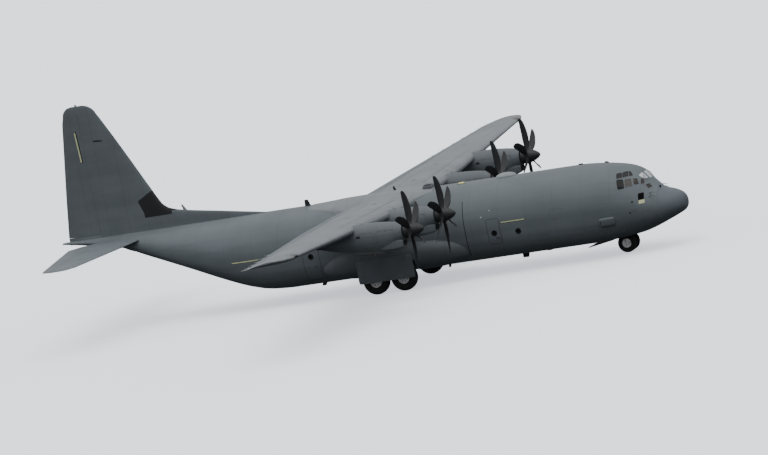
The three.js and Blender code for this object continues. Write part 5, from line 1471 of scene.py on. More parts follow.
# Columns: skin, direction, station, y, height, root chord, tip chord, rake, thickness.
BLADE_ANTENNAS = [
    (top_wall, UP, 3.95, 0.25, 0.08, 0.24, 0.16, 0.06, 0.024),
    (top_wall, UP, 5.3, 0.1, 0.06, 0.3, 0.22, 0.04, 0.024),
    (top_wall, UP, 20.42, 0.0, 0.34, 0.34, 0.2, 0.05, 0.024),
    (belly_wall, DOWN, 9.22, 0.3, 0.36, 0.42, 0.34, 0.05, 0.035),
    (belly_wall, DOWN, 13.25, -0.2, 0.22, 0.16, 0.12, 0.06, 0.024),
    (belly_wall, DOWN, 7.64, -0.5, 0.06, 0.3, 0.24, 0.02, 0.024),
    (belly_wall, DOWN, 10.4, 0.0, 0.08, 0.3, 0.24, 0.02, 0.024),
    (belly_wall, DOWN, 20.4, 0.35, 0.3, 0.34, 0.22, 0.12, 0.024),
]
blades = [blade_antenna(skin(s, y, 0.0), way, *sizes) for skin, way, s, y, *sizes in BLADE_ANTENNAS]
add_piece("blade_antennas", boot_black, blades)

pod = plate(top_wall, box_outline(8.85, 9.95, -0.34, 0.34, 64, 2.6), dome_layers(0.2, 12))
add_piece("satellite_antenna_pod", pod_paint, [pod])
top_beacon = (top_wall, box_outline(11.62, 12.0, -0.3, -0.1, 48, 3))
belly_beacon = (belly_wall, disc_outline(19.1, 0.0, 0.1))
domes = [plate(*top_beacon, dome_layers(0.08)), plate(*belly_beacon, dome_layers(0.1))]
add_piece("anticollision_beacons", amber_lens, domes, "window_glass")
GASKET = [(-0.01, -0.01), (-0.01, 0.008), (0.03, 0.008), (0.035, -0.01)]
add_piece("beacon_gaskets", black_rubber_and_hole_shade, each(rim, [top_beacon, belly_beacon], GASKET))
print("antennas:", len(blades), "beacons:", len(domes))

# %% [markdown]
# The nose carries the sensors: on each side a black square over a pale one, the static vents, two pitot
# tubes ahead of the windscreen, and a boxed sensor low on the cheek. The box's mouth at its rear is a black
# plate: painted shade of the opening.

# %% Nose sensors
squares = each(flat_plate, on_sides(box_outline(1.83, 2.1, 2.79, 3.11, power=12)), 0.008)
lamps = each(flat_plate, on_sides(box_outline(1.81, 2.09, 2.59, 2.77, power=12)), 0.009)
cheeks = each(plate, on_sides(box_outline(3.41, 4.24, 1.76, 2.2, 72, 6)), fairing_layers(0.13))
CHEEK_MOUTH = [(0.05, 0.12), (0.8, 0.128), (1.0, 0.1), (1.0, 0.0)]
# The mouths are black plates: painted shade of the boxes' openings.
mouths = each(plate, on_sides(box_outline(4.02, 4.17, 1.88, 2.1, 40, 4)), CHEEK_MOUTH)
vents = each(plate, on_sides(disc_outline(2.4, 2.76, 0.045, 24), disc_outline(2.59, 2.23, 0.04, 24)),
             lid(0.004, start=0.1, flat=0.7))
add_piece("nose_sensor_apertures", sensor_black_and_mouth_shade, squares + mouths + vents)
add_piece("nose_formation_lights", formation_strip, lamps, "window_glass")
add_piece("cheek_sensor_boxes", fuselage_paint, cheeks)

# Access panels show as a fine raised line of sealant along their edges.
panels = on_sides(disc_outline(2.36, 2.14, 0.17), box_outline(6.1, 6.75, 2.55, 3.05),
                  box_outline(7.1, 7.5, 1.5, 1.85), box_outline(2.95, 3.3, 1.25, 1.55))
add_piece("access_panel_edges", seam_shadow, each(rim, panels, bead(0.004, -0.006, 0.004)))
PITOT_LENGTH = 0.2


def pitot(s, z, sign):
    """A pitot tube: a short mast out of the skin and a tube forward from it."""
    wall = side_wall(sign)
    foot, top = wall(s, z, -0.02), wall(s - 0.06, z, 0.13)
    front = top + np.array([PITOT_LENGTH, 0, -0.04]) * SCALE
    behind = top - np.array([0.05, 0, 0]) * SCALE
    return [pipe([foot, foot * 0.4 + top * 0.6, top], [0.022, 0.018, 0.014], 12),
            pipe([behind, top, (front + top) / 2, front], [0.008, 0.016, 0.016, 0.011], 14)]


probes = [part for _, sign in SIDES for z in (2.98, 2.84) for part in pitot(1.6, z, sign)]
add_piece("pitot_tubes", frame_paint, probes, "gear_steel")
thermometer = blade_antenna(place(1.22, -0.27, 3.1), (0.25, -0.2, 1), 0.12, 0.12, 0.08, 0.02, 0.03)
add_piece("nose_temperature_probe", boot_black, [thermometer])

# Windscreen wipers: an arm from the sill to the outer end of the pane, and the blade on the glass.
# Columns: y, height, distance from the skin.
WIPER_ARM = [(0.66, 3.62, -0.01), (0.66, 3.64, 0.03), (0.6, 3.74, 0.035), (0.53, 3.86, 0.03)]
WIPER_BLADE = [(0.69, 3.76, 0.012), (0.55, 3.85, 0.012), (0.42, 3.95, 0.012)]
wipers = [pipe([front_wall(sign)(*point) for point in path], radius, 8)
          for _, sign in SIDES for path, radius in ((WIPER_ARM, 0.006), (WIPER_BLADE, 0.008))]
add_piece("windscreen_wipers", black_rubber_and_hole_shade, wipers)
print("nose: vents", len(vents), "probes", len(probes), "wiper parts", len(wipers))

# %% [markdown]
# Pale strips of electroluminescent lamp run along the sides and up the rudder, so that others can keep
# formation at night. A thin black band round the hull marks where the propellers turn.

# %% Strips, bands and lamps
strips = on_sides(box_outline(8.14, 9.46, 2.745, 2.795, 80), box_outline(22.9, 24.45, 2.665, 2.72, 80))
backs = on_sides(box_outline(8.12, 9.48, 2.725, 2.8, 80), box_outline(22.88, 24.47, 2.645, 2.725, 80))
add_piece("hull_formation_strips", formation_strip, each(flat_plate, strips, 0.008), "window_glass")
add_piece("hull_formation_strip_backs", black_rubber_and_hole_shade, each(flat_plate, backs, 0.004))

# The band's section. Columns: distance aft of its front edge, height above the skin.
BAND_STATION = 11.43
BAND = [(0.0, -0.01), (0.0, 0.006), (0.035, 0.006), (0.035, -0.01)]
heights = np.linspace(4.05, 1.25, 40)
bands = []
for _, sign in SIDES:
    edges = [side_wall(sign)(np.full(40, BAND_STATION + aft), heights, out) for aft, out in BAND]
    bands.append(solid_from_rings(np.stack(edges, 1)))
add_piece("propeller_plane_bands", black_rubber_and_hole_shade, bands)

# Small lamps that light the wing's edge and the engines at night.
eyes = on_sides(disc_outline(9.98, 3.45, 0.03, 24), disc_outline(10.48, 3.18, 0.03, 24))
add_piece("ice_inspection_lamps", clear_lens, each(plate, eyes, dome_layers(0.015)), "window_glass")

# Door handles: a black plate for the cup, painted shade of the recess, with a bar across it. Columns:
# station, height, side, body.
HANDLES = [(5.5, 1.85, 1, "crew_door"), (9.75, 1.98, -1, "airframe"), (19.85, 1.9, 1, "airframe"),
           (19.85, 1.9, -1, "airframe")]
# The bar's path. Columns: distance aft of the middle, height above the skin.
GRIP = [(-0.08, -0.005), (-0.075, 0.012), (0.075, 0.012), (0.08, -0.005)]
for k, (s, z, sign, body) in enumerate(HANDLES, 1):
    wall = side_wall(sign)
    cup = plate(wall, box_outline(s - 0.11, s + 0.11, z - 0.035, z + 0.035, 40, 4), lid(0.002))
    add_piece(f"door_handle_cup_{k}", black_rubber_and_hole_shade, [cup], body=body)
    bar = pipe([wall(s + aft, z, out) for aft, out in GRIP], 0.008, 8)
    add_piece(f"door_handle_bar_{k}", bare_steel, [bar], "gear_steel", body)

# The joints round the doors and hatches that stay shut.
gaps = on_sides(box_outline(9.55, 10.25, 1.72, 3.02, 96, 12), signs=(-1,))
gaps += on_sides(box_outline(19.58, 20.5, 1.2, 2.98, 96, 12))
add_piece("shut_door_joints", black_rubber_and_hole_shade, each(rim, gaps, bead(0.008, -0.006, 0.0025)))
print("strips:", len(strips), "bands:", len(bands), "handles:", len(HANDLES))

# %% [markdown]
# ## Small things on the tail and wings
# The rudder has its own formation strip, and the fin's foot wears a black patch that wraps round its
# front edge, where antennas look forward. These follow the fin's own surface, as the hull's plates
# follow the hull.

# %% Tail details
STRIP_FOOT = -0.01


def quad_strip(surface, start, end, width, out, count=24):
    """A thin proud strip along a straight line of (a, b) points, with both edges at half its width."""
    path = np.linspace(start, end, count)
    step = np.gradient(path, axis=0)
    normal = np.stack([step[:, 1], -step[:, 0]], -1) / np.linalg.norm(step, axis=1, keepdims=True)
    rings = [surface(*(path + normal * width / 2 * way).T, height)
             for way, height in ((1, STRIP_FOOT), (1, out), (-1, out), (-1, STRIP_FOOT))]
    return solid_from_rings(np.stack(rings, 1))


walls = [fin_side(sign) for _, sign in SIDES]
strips = [quad_strip(wall, (32.43, 10.48), (32.36, 8.88), 0.07, 0.01) for wall in walls]
backs = [quad_strip(wall, (32.4, 10.52), (32.33, 8.84), 0.12, 0.006) for wall in walls]
marker = rounded([(30.95, 9.82), (31.5, 9.86), (31.5, 9.95), (30.95, 9.9)], 40, 2.5)
MARKER_LAYERS = [(0.05, 0.012), (0.5, 0.012), (0.9, 0.006), (1.0, 0.0), (1.0, -0.01)]
add_piece("rudder_formation_strips", formation_strip, strips, "window_glass", "rudder")
add_piece("rudder_formation_strip_backs", black_rubber_and_hole_shade, backs, body="rudder")
add_piece("fin_marker_vents", black_rubber_and_hole_shade, [plate(wall, marker, MARKER_LAYERS) for wall in walls])

# The patch: rows of constant height, from its rear line on one side round the edge to the other side.
PATCH_OUT = 0.004
PATCH_REAR = ([5.49, 5.72, 6.4, 6.83], [29.43, 29.43, 29.67, 28.87])  # heights and stations
RIDGE_TOP, RIDGE_STOP = 5.66, 27.92  # below that height the patch ends at that station, on the ridge
rings = []
for z in np.linspace(5.49, 6.83, 30):
    front = smooth_rows(FIN_EDGE, z)[0]
    if z < RIDGE_TOP:
        front = max(front, RIDGE_STOP)
    s = front + (np.interp(z, *PATCH_REAR) - front) * np.linspace(0, 1, 24) ** 2
    right, left = (fin_side(sign)(s, z, PATCH_OUT) for sign in (-1, 1))
    tip = (right[:1] + left[:1]) / 2 if z < RIDGE_TOP else place([front - PATCH_OUT], 0, z)
    rings.append(np.concatenate([right[::-1], tip, left]))
add_piece("fin_antenna_patch", boot_black, [solid_from_rings(rings)])

cap_light = blade_antenna(place(32.1, 0, 11.84), UP, 0.1, 0.14, 0.1, 0.02)
add_piece("fin_cap_light", pod_paint, [cap_light], "window_glass")
ridge_probe = blade_antenna(place(27.2, 0, 5.58), UP, 0.3, 0.2, 0.1, 0.14, 0.03)
add_piece("ridge_antenna", pod_paint, [ridge_probe])
tail_lamp = pipe(place([34.2, 34.33, 34.365], 0, 4.73), [0.035, 0.035, 0.015], 16)
add_piece("tail_lamp", clear_lens, [tail_lamp], "window_glass")
print("tail strips:", len(strips))

# %% [markdown]
# The wing carries fuel caps, fine panel joints, lamps in the leading edge and the tips, and rows of
# static wicks at the trailing edges. Its surface is a function of station and span, so plates follow it.

# %% Wing details


def wing_skin(side, face):
    """The wing's top (face 1) or bottom (-1) as a surface of (station, span position)."""
    def at(s, y, out):
        _, leading, chord, height, drop, thick = row_at(WING, y)
        part = np.clip((s - leading) / chord, 0.0, 1.0)
        half = wing_half_thickness(part, thick) * chord
        bow = 4 * WING_CAMBER * part * (1 - part) * chord
        return place(s, side * y, height - part * drop + bow + face * (half + out))
    return at


def chord_point(y, part):
    """The station at a part of the wing's chord."""
    _, leading, chord, *_ = row_at(WING, y)
    return leading + part * chord


def surface_of_span(side, face):
    """The same surface with its measures as (span position, part of the chord), for lines along the span."""
    return lambda y, part, out: wing_skin(side, face)(chord_point(y, part), y, out)


def wing_middle(side, s, y):
    """The point halfway between the wing's top and bottom."""
    return (wing_skin(side, 1)(s, y, 0.0) + wing_skin(side, -1)(s, y, 0.0)) / 2


lines = [quad_strip(surface_of_span(sign, face), (2.4, part), (19.2, part), 0.0022, 0.0035, 90)
         for _, sign in SIDES for part in (0.14, 0.42, 0.64) for face in (1, -1)]
add_piece("wing_panel_joints", wing_joint, lines)
# Fuel caps. Columns: span position, part of the chord.
CAPS = [(3.3, 0.3), (7.4, 0.32), (12.3, 0.33), (15.8, 0.34)]
CAP_RADIUS, CAP_RING = 0.085, 0.1
spots = [(wing_skin(sign, 1), chord_point(y, part), y) for _, sign in SIDES for y, part in CAPS]
caps = [(skin, disc_outline(s, y, CAP_RADIUS, 28)) for skin, s, y in spots]
rings = [(skin, disc_outline(s, y, CAP_RING, 28)) for skin, s, y in spots]
add_piece("fuel_caps", frame_paint, each(plate, caps, lid(0.008, 0.005)))
add_piece("fuel_cap_rings", seam_shadow, each(rim, rings, bead(0.012, -0.01, 0.004)))

# Static wicks: short pale rods with a thicker foot. Columns: span position, part of the chord.
WING_WICKS = [(19.35, 0.985), (19.6, 0.985), (19.8, 0.98), (19.97, 0.97)]
AILERON_WICKS = [(13.6, 0.995), (14.9, 0.995), (16.2, 0.995), (17.4, 0.995), (18.5, 0.995)]
WICK_PATH = np.array([[0.05, 0, 0], [-0.06, 0, 0], [-0.1, 0, -0.004], [-0.3, 0, -0.02]]) * SCALE
WICK_RADII = [0.016, 0.016, 0.007, 0.004]
for side, sign in SIDES:
    rows = (("wing", WING_WICKS, "airframe"), ("aileron", AILERON_WICKS, f"aileron_{side}"))
    for group, places, body in rows:
        feet = [wing_middle(sign, chord_point(y, part), y) for y, part in places]
        rods = [pipe(foot + WICK_PATH, WICK_RADII) for foot in feet]
        add_piece(f"{group}_static_wicks_{side}", wick_paint, rods, body=body)


def teardrop(middle, reaches, radii, sides):
    """A lamp's body: circles at several distances ahead of a point on the wing's tip."""
    return pipe(middle + np.outer(reaches, [SCALE, 0, 0]), radii, sides)


# Tip lamps: red to the left, green to the right, in a clear teardrop at the tip's front corner.
DROP_REACHES = [0.1, 0.09, 0.05, 0, -0.08, -0.13]
DROP_RADII = [0.008, 0.026, 0.042, 0.048, 0.03, 0.006]
for side, sign, lens in (("left", 1, red_lens), ("right", -1, green_lens)):
    drop = teardrop(wing_middle(sign, 14.78, 19.74), DROP_REACHES, DROP_RADII, 20)
    add_piece(f"tip_lamp_{side}", lens, [drop], "window_glass")
    pair = [teardrop(wing_middle(sign, s, y), [0.03, 0.02, -0.02, -0.03], [0.006, 0.02, 0.02, 0.006], 14)
            for s, y in ((15.5, 20.12), (15.15, 20.04))]
    add_piece(f"tip_position_lamps_{side}", clear_lens, pair, "window_glass")

# A dark glazed lamp window in the leading edge near each tip, from and to along the span.
LE_WINDOW = (18.55, 18.98)
windows = [solid_from_rings([wing_nose(y, sign, 0.1, 0.012) for y in np.linspace(*LE_WINDOW, 8)])
           for _, sign in SIDES]
add_piece("leading_edge_windows", dark_window, windows, "window_glass")

# The square air inlet ahead of the wing, a low box on the crown. Its mouth is a black plate on the box's
# top: painted shade of the opening.
INLET_BOX = [(0.03, 0.2), (0.5, 0.2), (0.86, 0.195), (0.95, 0.17), (1.0, 0.1), (1.04, -0.02)]
inlet = plate(top_wall, box_outline(13.36, 13.9, -0.42, 0.06, 60, 6), INLET_BOX)
mouth = plate(top_wall, box_outline(13.42, 13.84, -0.38, 0.0, 48, 6), lid(0.203, 0.198, 0.15, flat=0.9))
add_piece("crown_air_inlet", gear_door_paint, [inlet])
foot = place(15.55, 0.1, 4.88)  # on the wing's centre, a little to the left
add_piece("wing_top_antenna", black_rubber_and_hole_shade, [blade_antenna(foot, UP, 0.26, 0.16, 0.1, 0.06)])
add_piece("crown_air_inlet_mouth", black_rubber_and_hole_shade, [mouth])
print("wing plates:", len(lines), "caps:", len(caps))

# %% [markdown]
# ## Small things on the nacelles and propellers
# Each cowl opens in panels held by latches, and has vents, a drain and a paler belly panel that oil keeps
# wiping clean. Each plate follows the pod, whose surface is a function of station and angle.

# %% Nacelle details


def pod_wall(y, axis):
    """A nacelle's side as a surface of (station, angle round the pod)."""
    def at(s, turn, out):
        top, bottom, half, mid = np.moveaxis(smooth_rows(NACELLE, s), -1, 0)
        w = np.sin(turn)
        tall = np.where(w >= 0, top - mid, bottom + mid) + out
        return place(s, y + (half + out) * np.cos(turn), axis + mid + tall * w)
    return at


def pod_box(box, level, count, power):
    """A rounded box on a pod: from and to station, from and to angle, which counts from a level."""
    front, rear, low, high = box
    return box_outline(front, rear, level + low, level + high, count, power)


# Columns: from and to station, from and to angle.
COWL_PANELS = [(12.2, 13.15, -0.55, 0.62), (13.3, 14.1, -0.5, 0.5)]
SIDE_VENT, TOP_VENT = (14.0, 14.22, -0.36, -0.22), (13.88, 14.1, -0.06, 0.06)
BELLY_PANEL = (12.95, 14.95, -0.62, 0.62)
ROUND_VENTS = ((12.78, -1.5), (12.95, -1.62))  # station and angle
CATCH_STATIONS, CATCH_ANGLES = (12.35, 12.65, 12.95, 13.45, 13.8), (-0.5, 0.53)
PANEL_BEAD = bead(0.005, -0.008, 0.0035)
VENT, PROUD_VENT, CATCH = lid(0.004, start=0.1), lid(0.006, start=0.1), lid(0.006, 0.002, -0.008, 0.1)
BELLY_LAYERS = [(part, 0.006) for part in np.linspace(0.02, 0.99, 14)] + [(1.0, 0.0), (1.0, -0.01)]
ABOVE, BELOW = math.pi / 2, -math.pi / 2  # angles round the pod
for name, y, axis in ENGINES:
    wall = pod_wall(y, axis)
    edges, vents, catches = [], [], []
    for level in (0.0, math.pi):
        edges += [rim(wall, pod_box(panel, level, 72, 10), PANEL_BEAD) for panel in COWL_PANELS]
        vents.append(plate(wall, pod_box(SIDE_VENT, level, 32, 4), VENT))
        catches += [plate(wall, pod_box((s - 0.05, s + 0.05, -0.02, 0.02), level + turn, 20, 5), CATCH)
                    for s in CATCH_STATIONS for turn in CATCH_ANGLES]
    vents.append(plate(wall, pod_box(TOP_VENT, ABOVE, 28, 4), PROUD_VENT))
    vents += [plate(wall, disc_outline(s, turn, 0.04, 18), VENT) for s, turn in ROUND_VENTS]
    add_piece(f"cowl_panel_edges_{name}", seam_shadow, edges)
    # The vents are black plates on the cowl: painted shade of their openings.
    add_piece(f"cowl_vents_{name}", black_rubber_and_hole_shade, vents)
    add_piece(f"cowl_catches_{name}", seam_shadow, catches, "gear_steel")
    belly = plate(wall, pod_box(BELLY_PANEL, BELOW, 90, 3.5), BELLY_LAYERS)
    add_piece(f"cowl_belly_panel_{name}", belly_panel_paint, [belly])
    mast = blade_antenna(wall(13.6, BELOW, 0.0), DOWN, 0.1, 0.07, 0.05, 0.03, 0.02)
    add_piece(f"drain_mast_{name}", bare_steel, [mast], "gear_steel")
print("nacelle details for", len(ENGINES), "engines")

# %% [markdown]
# A blade's front edge wears a rubber boot near the root, which keeps ice off, and a metal strip further
# out, which keeps grit from wearing it. Both are thin shells of the blade's own section.

# %% Blade edges and spinner joints


def blade_edge(start, end, reach, out):
    """A thin shell over the blade's front edge, which reaches over a part of the half chord."""
    turn = np.linspace(-1, 1, 13) * math.acos(1 - reach)
    return solid_from_rings([np.concatenate([blade_section(radius, turn, out=out),
                                             blade_section(radius, turn, out=-0.004)[::-1]])
                             for radius in np.linspace(start, end, 18)])


def spinner_joint(behind, tip):
    """A low ring round the spinner, at a distance behind its tip."""
    radius = smooth_rows(spinner_rows, math.sqrt(behind))[0]
    ring = np.array(bead(0.004, -0.004, 0.002))[:, ::-1] + [radius, -behind]
    rings = turned(np.concatenate([ring, ring[:1]]) * SCALE, tip, (1, 0, 0), 56)
    return rings, grid_faces(*rings.shape[:2])


boot = blade_edge(0.5, 1.15, 0.35, 0.0022)
strip = blade_edge(1.2, 1.98, 0.18, 0.0015)
for name, y, axis in ENGINES:
    body = f"propeller_{name}"
    tip = place(SPINNER_BASE - SPINNER_LENGTH, y, axis)
    joints = [spinner_joint(behind, tip) for behind in (0.3, 0.86)]
    for part, finish, shapes in (("boots", boot_black, round_hub(boot, y, axis)),
                                 ("edge_strips", nickel_strip, round_hub(strip, y, axis)),
                                 ("spinner_joints", black_rubber_and_hole_shade, joints)):
        add_piece(f"{body}_{part}", finish, shapes, "propeller_composite", body, angle=50)
print("blade boots and strips:", 2 * BLADES * len(ENGINES))

# %% [markdown]
# ## Landing gear
# A gear leg is a thick forged cylinder with a bright chromed piston sliding out of it below. Scissor-shaped
# torque links keep the piston from turning. The nose leg's lower half steers, so its parts ride on the
# steering joint. The solids give the places, and turned profiles and pipes give the shapes.

# %% Nose leg
# Profiles turned about a leg. Columns: radius, height.
UPPER_LEG = [(0.0, 0.86), (0.085, 0.86), (0.1, 0.87), (0.1, 0.93), (0.118, 0.94), (0.118, 0.99), (0.1, 1.0),
             (0.1, 1.28), (0.112, 1.29), (0.112, 1.33), (0.1, 1.34), (0.1, 1.84), (0.0, 1.84)]
LOWER_LEG = [(0.0, 0.44), (0.09, 0.44), (0.095, 0.47), (0.095, 0.6), (0.075, 0.63), (0.0, 0.63)]
STEERING_COLLAR = [(0.0, 0.79), (0.098, 0.79), (0.105, 0.8), (0.105, 0.835), (0.095, 0.845), (0.0, 0.845)]
NOSE_PISTON = [(0.0, 0.6), (0.068, 0.6), (0.068, 0.8), (0.0, 0.8)]
# Profiles turned about a line along x or y. Columns: radius, distance.
LAMP_SHELL = [(0.0, -0.06), (0.04, -0.055), (0.075, -0.02), (0.085, 0.03), (0.085, 0.045), (0.075, 0.045),
              (0.07, 0.03), (0.0, 0.028)]
LAMP_GLASS = [(0.0, 0.052), (0.04, 0.05), (0.073, 0.04), (0.073, 0.03), (0.0, 0.03)]
AXLE_BARREL = [(0.0, -0.11), (0.09, -0.11), (0.105, -0.09), (0.105, 0.09), (0.09, 0.11), (0.0, 0.11)]


def upright(profile, s, y):
    """A profile of (radius, height) turned about a vertical line."""
    return lathe(profile, place(s, y, 0), (0, 0, 1))


def rod(path, radius, sides=12, ahead=0.0):
    """A pipe through real (station, y, height) points, whose stations count from `ahead`."""
    return pipe(place(*(np.asarray(path, float) + [ahead, 0, 0]).T), radius, sides)


def bar_between(start, end, width, depth, narrow=1.0, ahead=0.0):
    """A flat bar between two real points: width across y and depth at right angles, narrower at its end."""
    a, b = place(*(np.array([start, end], float) + [ahead, 0, 0]).T)
    side = np.array([0.0, 1.0, 0.0])
    flat = np.cross((b - a) / np.linalg.norm(b - a), side)
    flat /= np.linalg.norm(flat)
    turn = np.linspace(0, 2 * np.pi, 20, endpoint=False)[:, None]
    c, w = (np.sign(v) * np.abs(v) ** 0.4 for v in (np.cos(turn), np.sin(turn)))
    rings = []
    for part, fill in ((0.0, 0.85), (0.04, 1.0), (0.5, 1.0), (0.96, 1.0), (1.0, 0.85)):
        size = fill * (1 + (narrow - 1) * part) * SCALE / 2
        rings.append(a + (b - a) * part + size * (width * c * side + depth * w * flat))
    return solid_from_rings(rings)


leg = NOSE_STATION
upper = [upright(UPPER_LEG, leg, 0),
         rod([(0, -0.15, 1.15), (0, 0.15, 1.15)], 0.035, ahead=leg),
         bar_between((0.6, 0, 1.8), (0.98, 0, 1.8), 0.4, 0.1, ahead=leg)]
upper += [rod([(0, y * 0.13, 1.15), (0.4, y * 0.15, 1.45), (0.8, y * 0.17, 1.76)], 0.03, ahead=leg)
          for y in (-1, 1)]
add_piece("nose_leg_cylinder", gear_paint, upper, "gear_steel", replaced=["nose_leg"])
# The steering cylinder across the leg, and its two thin rods. Columns: y of both ends, radius.
STEERING_RODS = [(-0.2, 0.2, 0.032), (-0.26, -0.2, 0.014), (0.2, 0.26, 0.014)]
fittings = [rod([(-0.12, y0, 1.08), (-0.12, y1, 1.08)], radius, ahead=leg)
            for y0, y1, radius in STEERING_RODS]
add_piece("nose_steering_cylinders", bare_steel, fittings, "gear_steel")
pipes = [rod([(0.11, y, 0.95), (0.13, y, 1.2), (0.12, y, 1.5), (0.14, y, 1.82)], 0.009, 8, leg)
         for y in (-0.03, 0.0, 0.03)]
add_piece("nose_leg_brake_pipes", black_rubber_and_hole_shade, pipes, "gear_steel", angle=50)
lamp_place = place(leg - 0.17, 0, 1.22)
add_piece("taxi_lamp_shell", gear_paint, [lathe(LAMP_SHELL, lamp_place, (1, 0, 0))], "gear_steel")
add_piece("taxi_lamp_glass", clear_lens, [lathe(LAMP_GLASS, lamp_place, (1, 0, 0))], "window_glass")

lower = [upright(LOWER_LEG, leg, 0), lathe(AXLE_BARREL, place(leg, 0, NOSE_RADIUS), (0, 1, 0)),
         bar_between((-0.07, 0, 0.58), (-0.25, 0, 0.7), 0.13, 0.035, 0.75, leg),
         bar_between((-0.07, 0, 0.82), (-0.25, 0, 0.715), 0.13, 0.035, 0.75, leg),
         rod([(-0.25, -0.07, 0.708), (-0.25, 0.07, 0.708)], 0.02, ahead=leg),
         upright(STEERING_COLLAR, leg, 0)]
add_piece("nose_leg_fork", gear_paint, lower, "gear_steel", "nose_steering", ["nose_fork"])
add_piece("nose_leg_piston", chrome, [upright(NOSE_PISTON, leg, 0)], "gear_steel", "nose_steering")
print("nose leg parts:", len(upper) + len(lower))

# %% [markdown]
# The main legs stand between the wheels and the hull, so little of them shows. Chromed pistons, collars,
# torque links and brake pipes are added round the solids' legs. The doors are thin pressed panels: their
# corners are rounded, and ribs stiffen their inner face.

# %% Main legs and gear doors
LEG_Y = 1.865
# Columns: radius, height.
PISTON_SLEEVE = [(0.08, 0.8), (0.0885, 0.8), (0.0885, 0.97), (0.08, 0.97)]
TOP_COLLAR = [(0.0, 0.96), (0.1, 0.96), (0.11, 0.975), (0.11, 1.03), (0.09, 1.045), (0.0, 1.045)]
LOW_COLLAR = [(0.0, 0.61), (0.08, 0.61), (0.1, 0.64), (0.1, 0.78), (0.09, 0.8), (0.0, 0.8)]
DOOR_FRONT, DOOR_REAR, DOOR_LOW, DOOR_HIGH, DOOR_Y, DOOR_THICK = 14.4, 17.5, 0.69, 1.92, 2.6, 0.055
DOOR_LAYERS = [(0.02, DOOR_THICK), (0.6, DOOR_THICK), (0.99, DOOR_THICK), (0.997, DOOR_THICK - 0.004),
               (1.0, DOOR_THICK - 0.012), (1.0, 0.01), (0.997, 0.003), (0.99, 0.0), (0.6, 0.0), (0.02, 0.0)]
UPRIGHT_RIB = [(0.05, -0.03), (0.7, -0.03), (0.9, -0.026), (1.0, -0.008), (1.0, 0.01)]
LEVEL_RIB = [(0.05, -0.02), (0.7, -0.02), (0.95, -0.018), (1.0, -0.006), (1.0, 0.01)]


def door_face(sign):
    """A main gear door as a flat surface of (station, height), measured from its inner face."""
    return lambda s, z, out: place(s, sign * (DOOR_Y + out), z)


for side, sign in SIDES:
    y = sign * LEG_Y
    sleeves, collars, pipes = [], [], []
    for _, s in MAIN_AXLES:
        sleeves.append(upright(PISTON_SLEEVE, s, y))
        collars += [upright(TOP_COLLAR, s, y), upright(LOW_COLLAR, s, y),
                    bar_between((0.08, y, 0.76), (0.24, y, 0.87), 0.07, 0.03, 0.8, s),
                    bar_between((0.08, y, 1.0), (0.24, y, 0.88), 0.07, 0.03, 0.8, s),
                    rod([(0.24, y - 0.045, 0.875), (0.24, y + 0.045, 0.875)], 0.017, ahead=s)]
        pipes.append(rod([(-0.1, y, 1.5), (-0.115, y, 1.2), (-0.13, y, 0.95), (-0.1, y, 0.78)], 0.009, 8, s))
    add_piece(f"main_leg_pistons_{side}", chrome, sleeves, "gear_steel")
    add_piece(f"main_leg_collars_{side}", gear_paint, collars, "gear_steel")
    add_piece(f"main_leg_brake_pipes_{side}", black_rubber_and_hole_shade, pipes, "gear_steel", angle=50)
    face = door_face(sign)
    panel = plate(face, box_outline(DOOR_FRONT, DOOR_REAR, DOOR_LOW, DOOR_HIGH, 120, 22), DOOR_LAYERS)
    add_piece(f"main_gear_door_{side}_panel", gear_door_paint, [panel], "gear_door_paint",
              replaced=[f"main_gear_door_{side}"])
    ribs = [plate(face, box_outline(s - 0.035, s + 0.035, DOOR_LOW + 0.08, 1.5, 40, 8), UPRIGHT_RIB)
            for s in np.linspace(DOOR_FRONT + 0.25, DOOR_REAR - 0.25, 6)]
    levels = [box_outline(DOOR_FRONT + 0.1, DOOR_REAR - 0.1, z - 0.03, z + 0.03, 60, 20)
              for z in (0.82, 1.2)]
    ribs += [plate(face, level, LEVEL_RIB) for level in levels]
    add_piece(f"main_gear_door_{side}_ribs", bay_paint, ribs, "gear_door_paint")

NOSE_DOOR_FRONT, NOSE_DOOR_REAR, NOSE_DOOR_HALF = 4.24, 5.7, 0.42


def nose_door_face(s, y, out):
    """The nose gear door as a sloping surface of (station, y), dished a little across like the belly."""
    slope = np.interp(s, [NOSE_DOOR_FRONT, NOSE_DOOR_REAR], [0.725, 0.495])
    return place(s, y, slope + 0.015 * (y / NOSE_DOOR_HALF) ** 2 + out)


outline = rounded([(4.24, -0.4), (5.7, -0.3), (5.7, 0.3), (4.24, 0.4)], 96, 7)
fills = [0.02, 0.4, 0.7, 0.9, 0.98]
layers = [(part, 0.03) for part in fills] + [(0.995, 0.024), (1.0, 0.012), (0.995, 0.003)]
layers += [(part, 0.0) for part in fills[::-1]]
door_parts = [plate(nose_door_face, outline, layers)]
for y in (-0.31, 0.31):
    door_parts += [bar_between((4.95, y, 0.66), (4.75, y * 0.97, 0.9), 0.03, 0.14, 0.7),
                   rod([(5.25, y, 0.62), (4.9, y * 0.97, 0.86)], 0.018),
                   bar_between((4.4, y * 0.8, 0.735), (5.5, y * 0.8, 0.59), 0.04, 0.04)]
add_piece("nose_gear_door_panel", gear_door_paint, door_parts, "gear_door_paint",
          replaced=["nose_gear_door"])
print("gear doors: 3")

# %% [markdown]
# ## Inside
# When the ramp and the door open, the hold shows: rings of frames with quilted lining between them,
# folding seats along both walls, and a floor of rails, rollers and tie-down rings. On the flight deck are
# three seats and the instrument panel, seen through the panes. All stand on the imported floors.

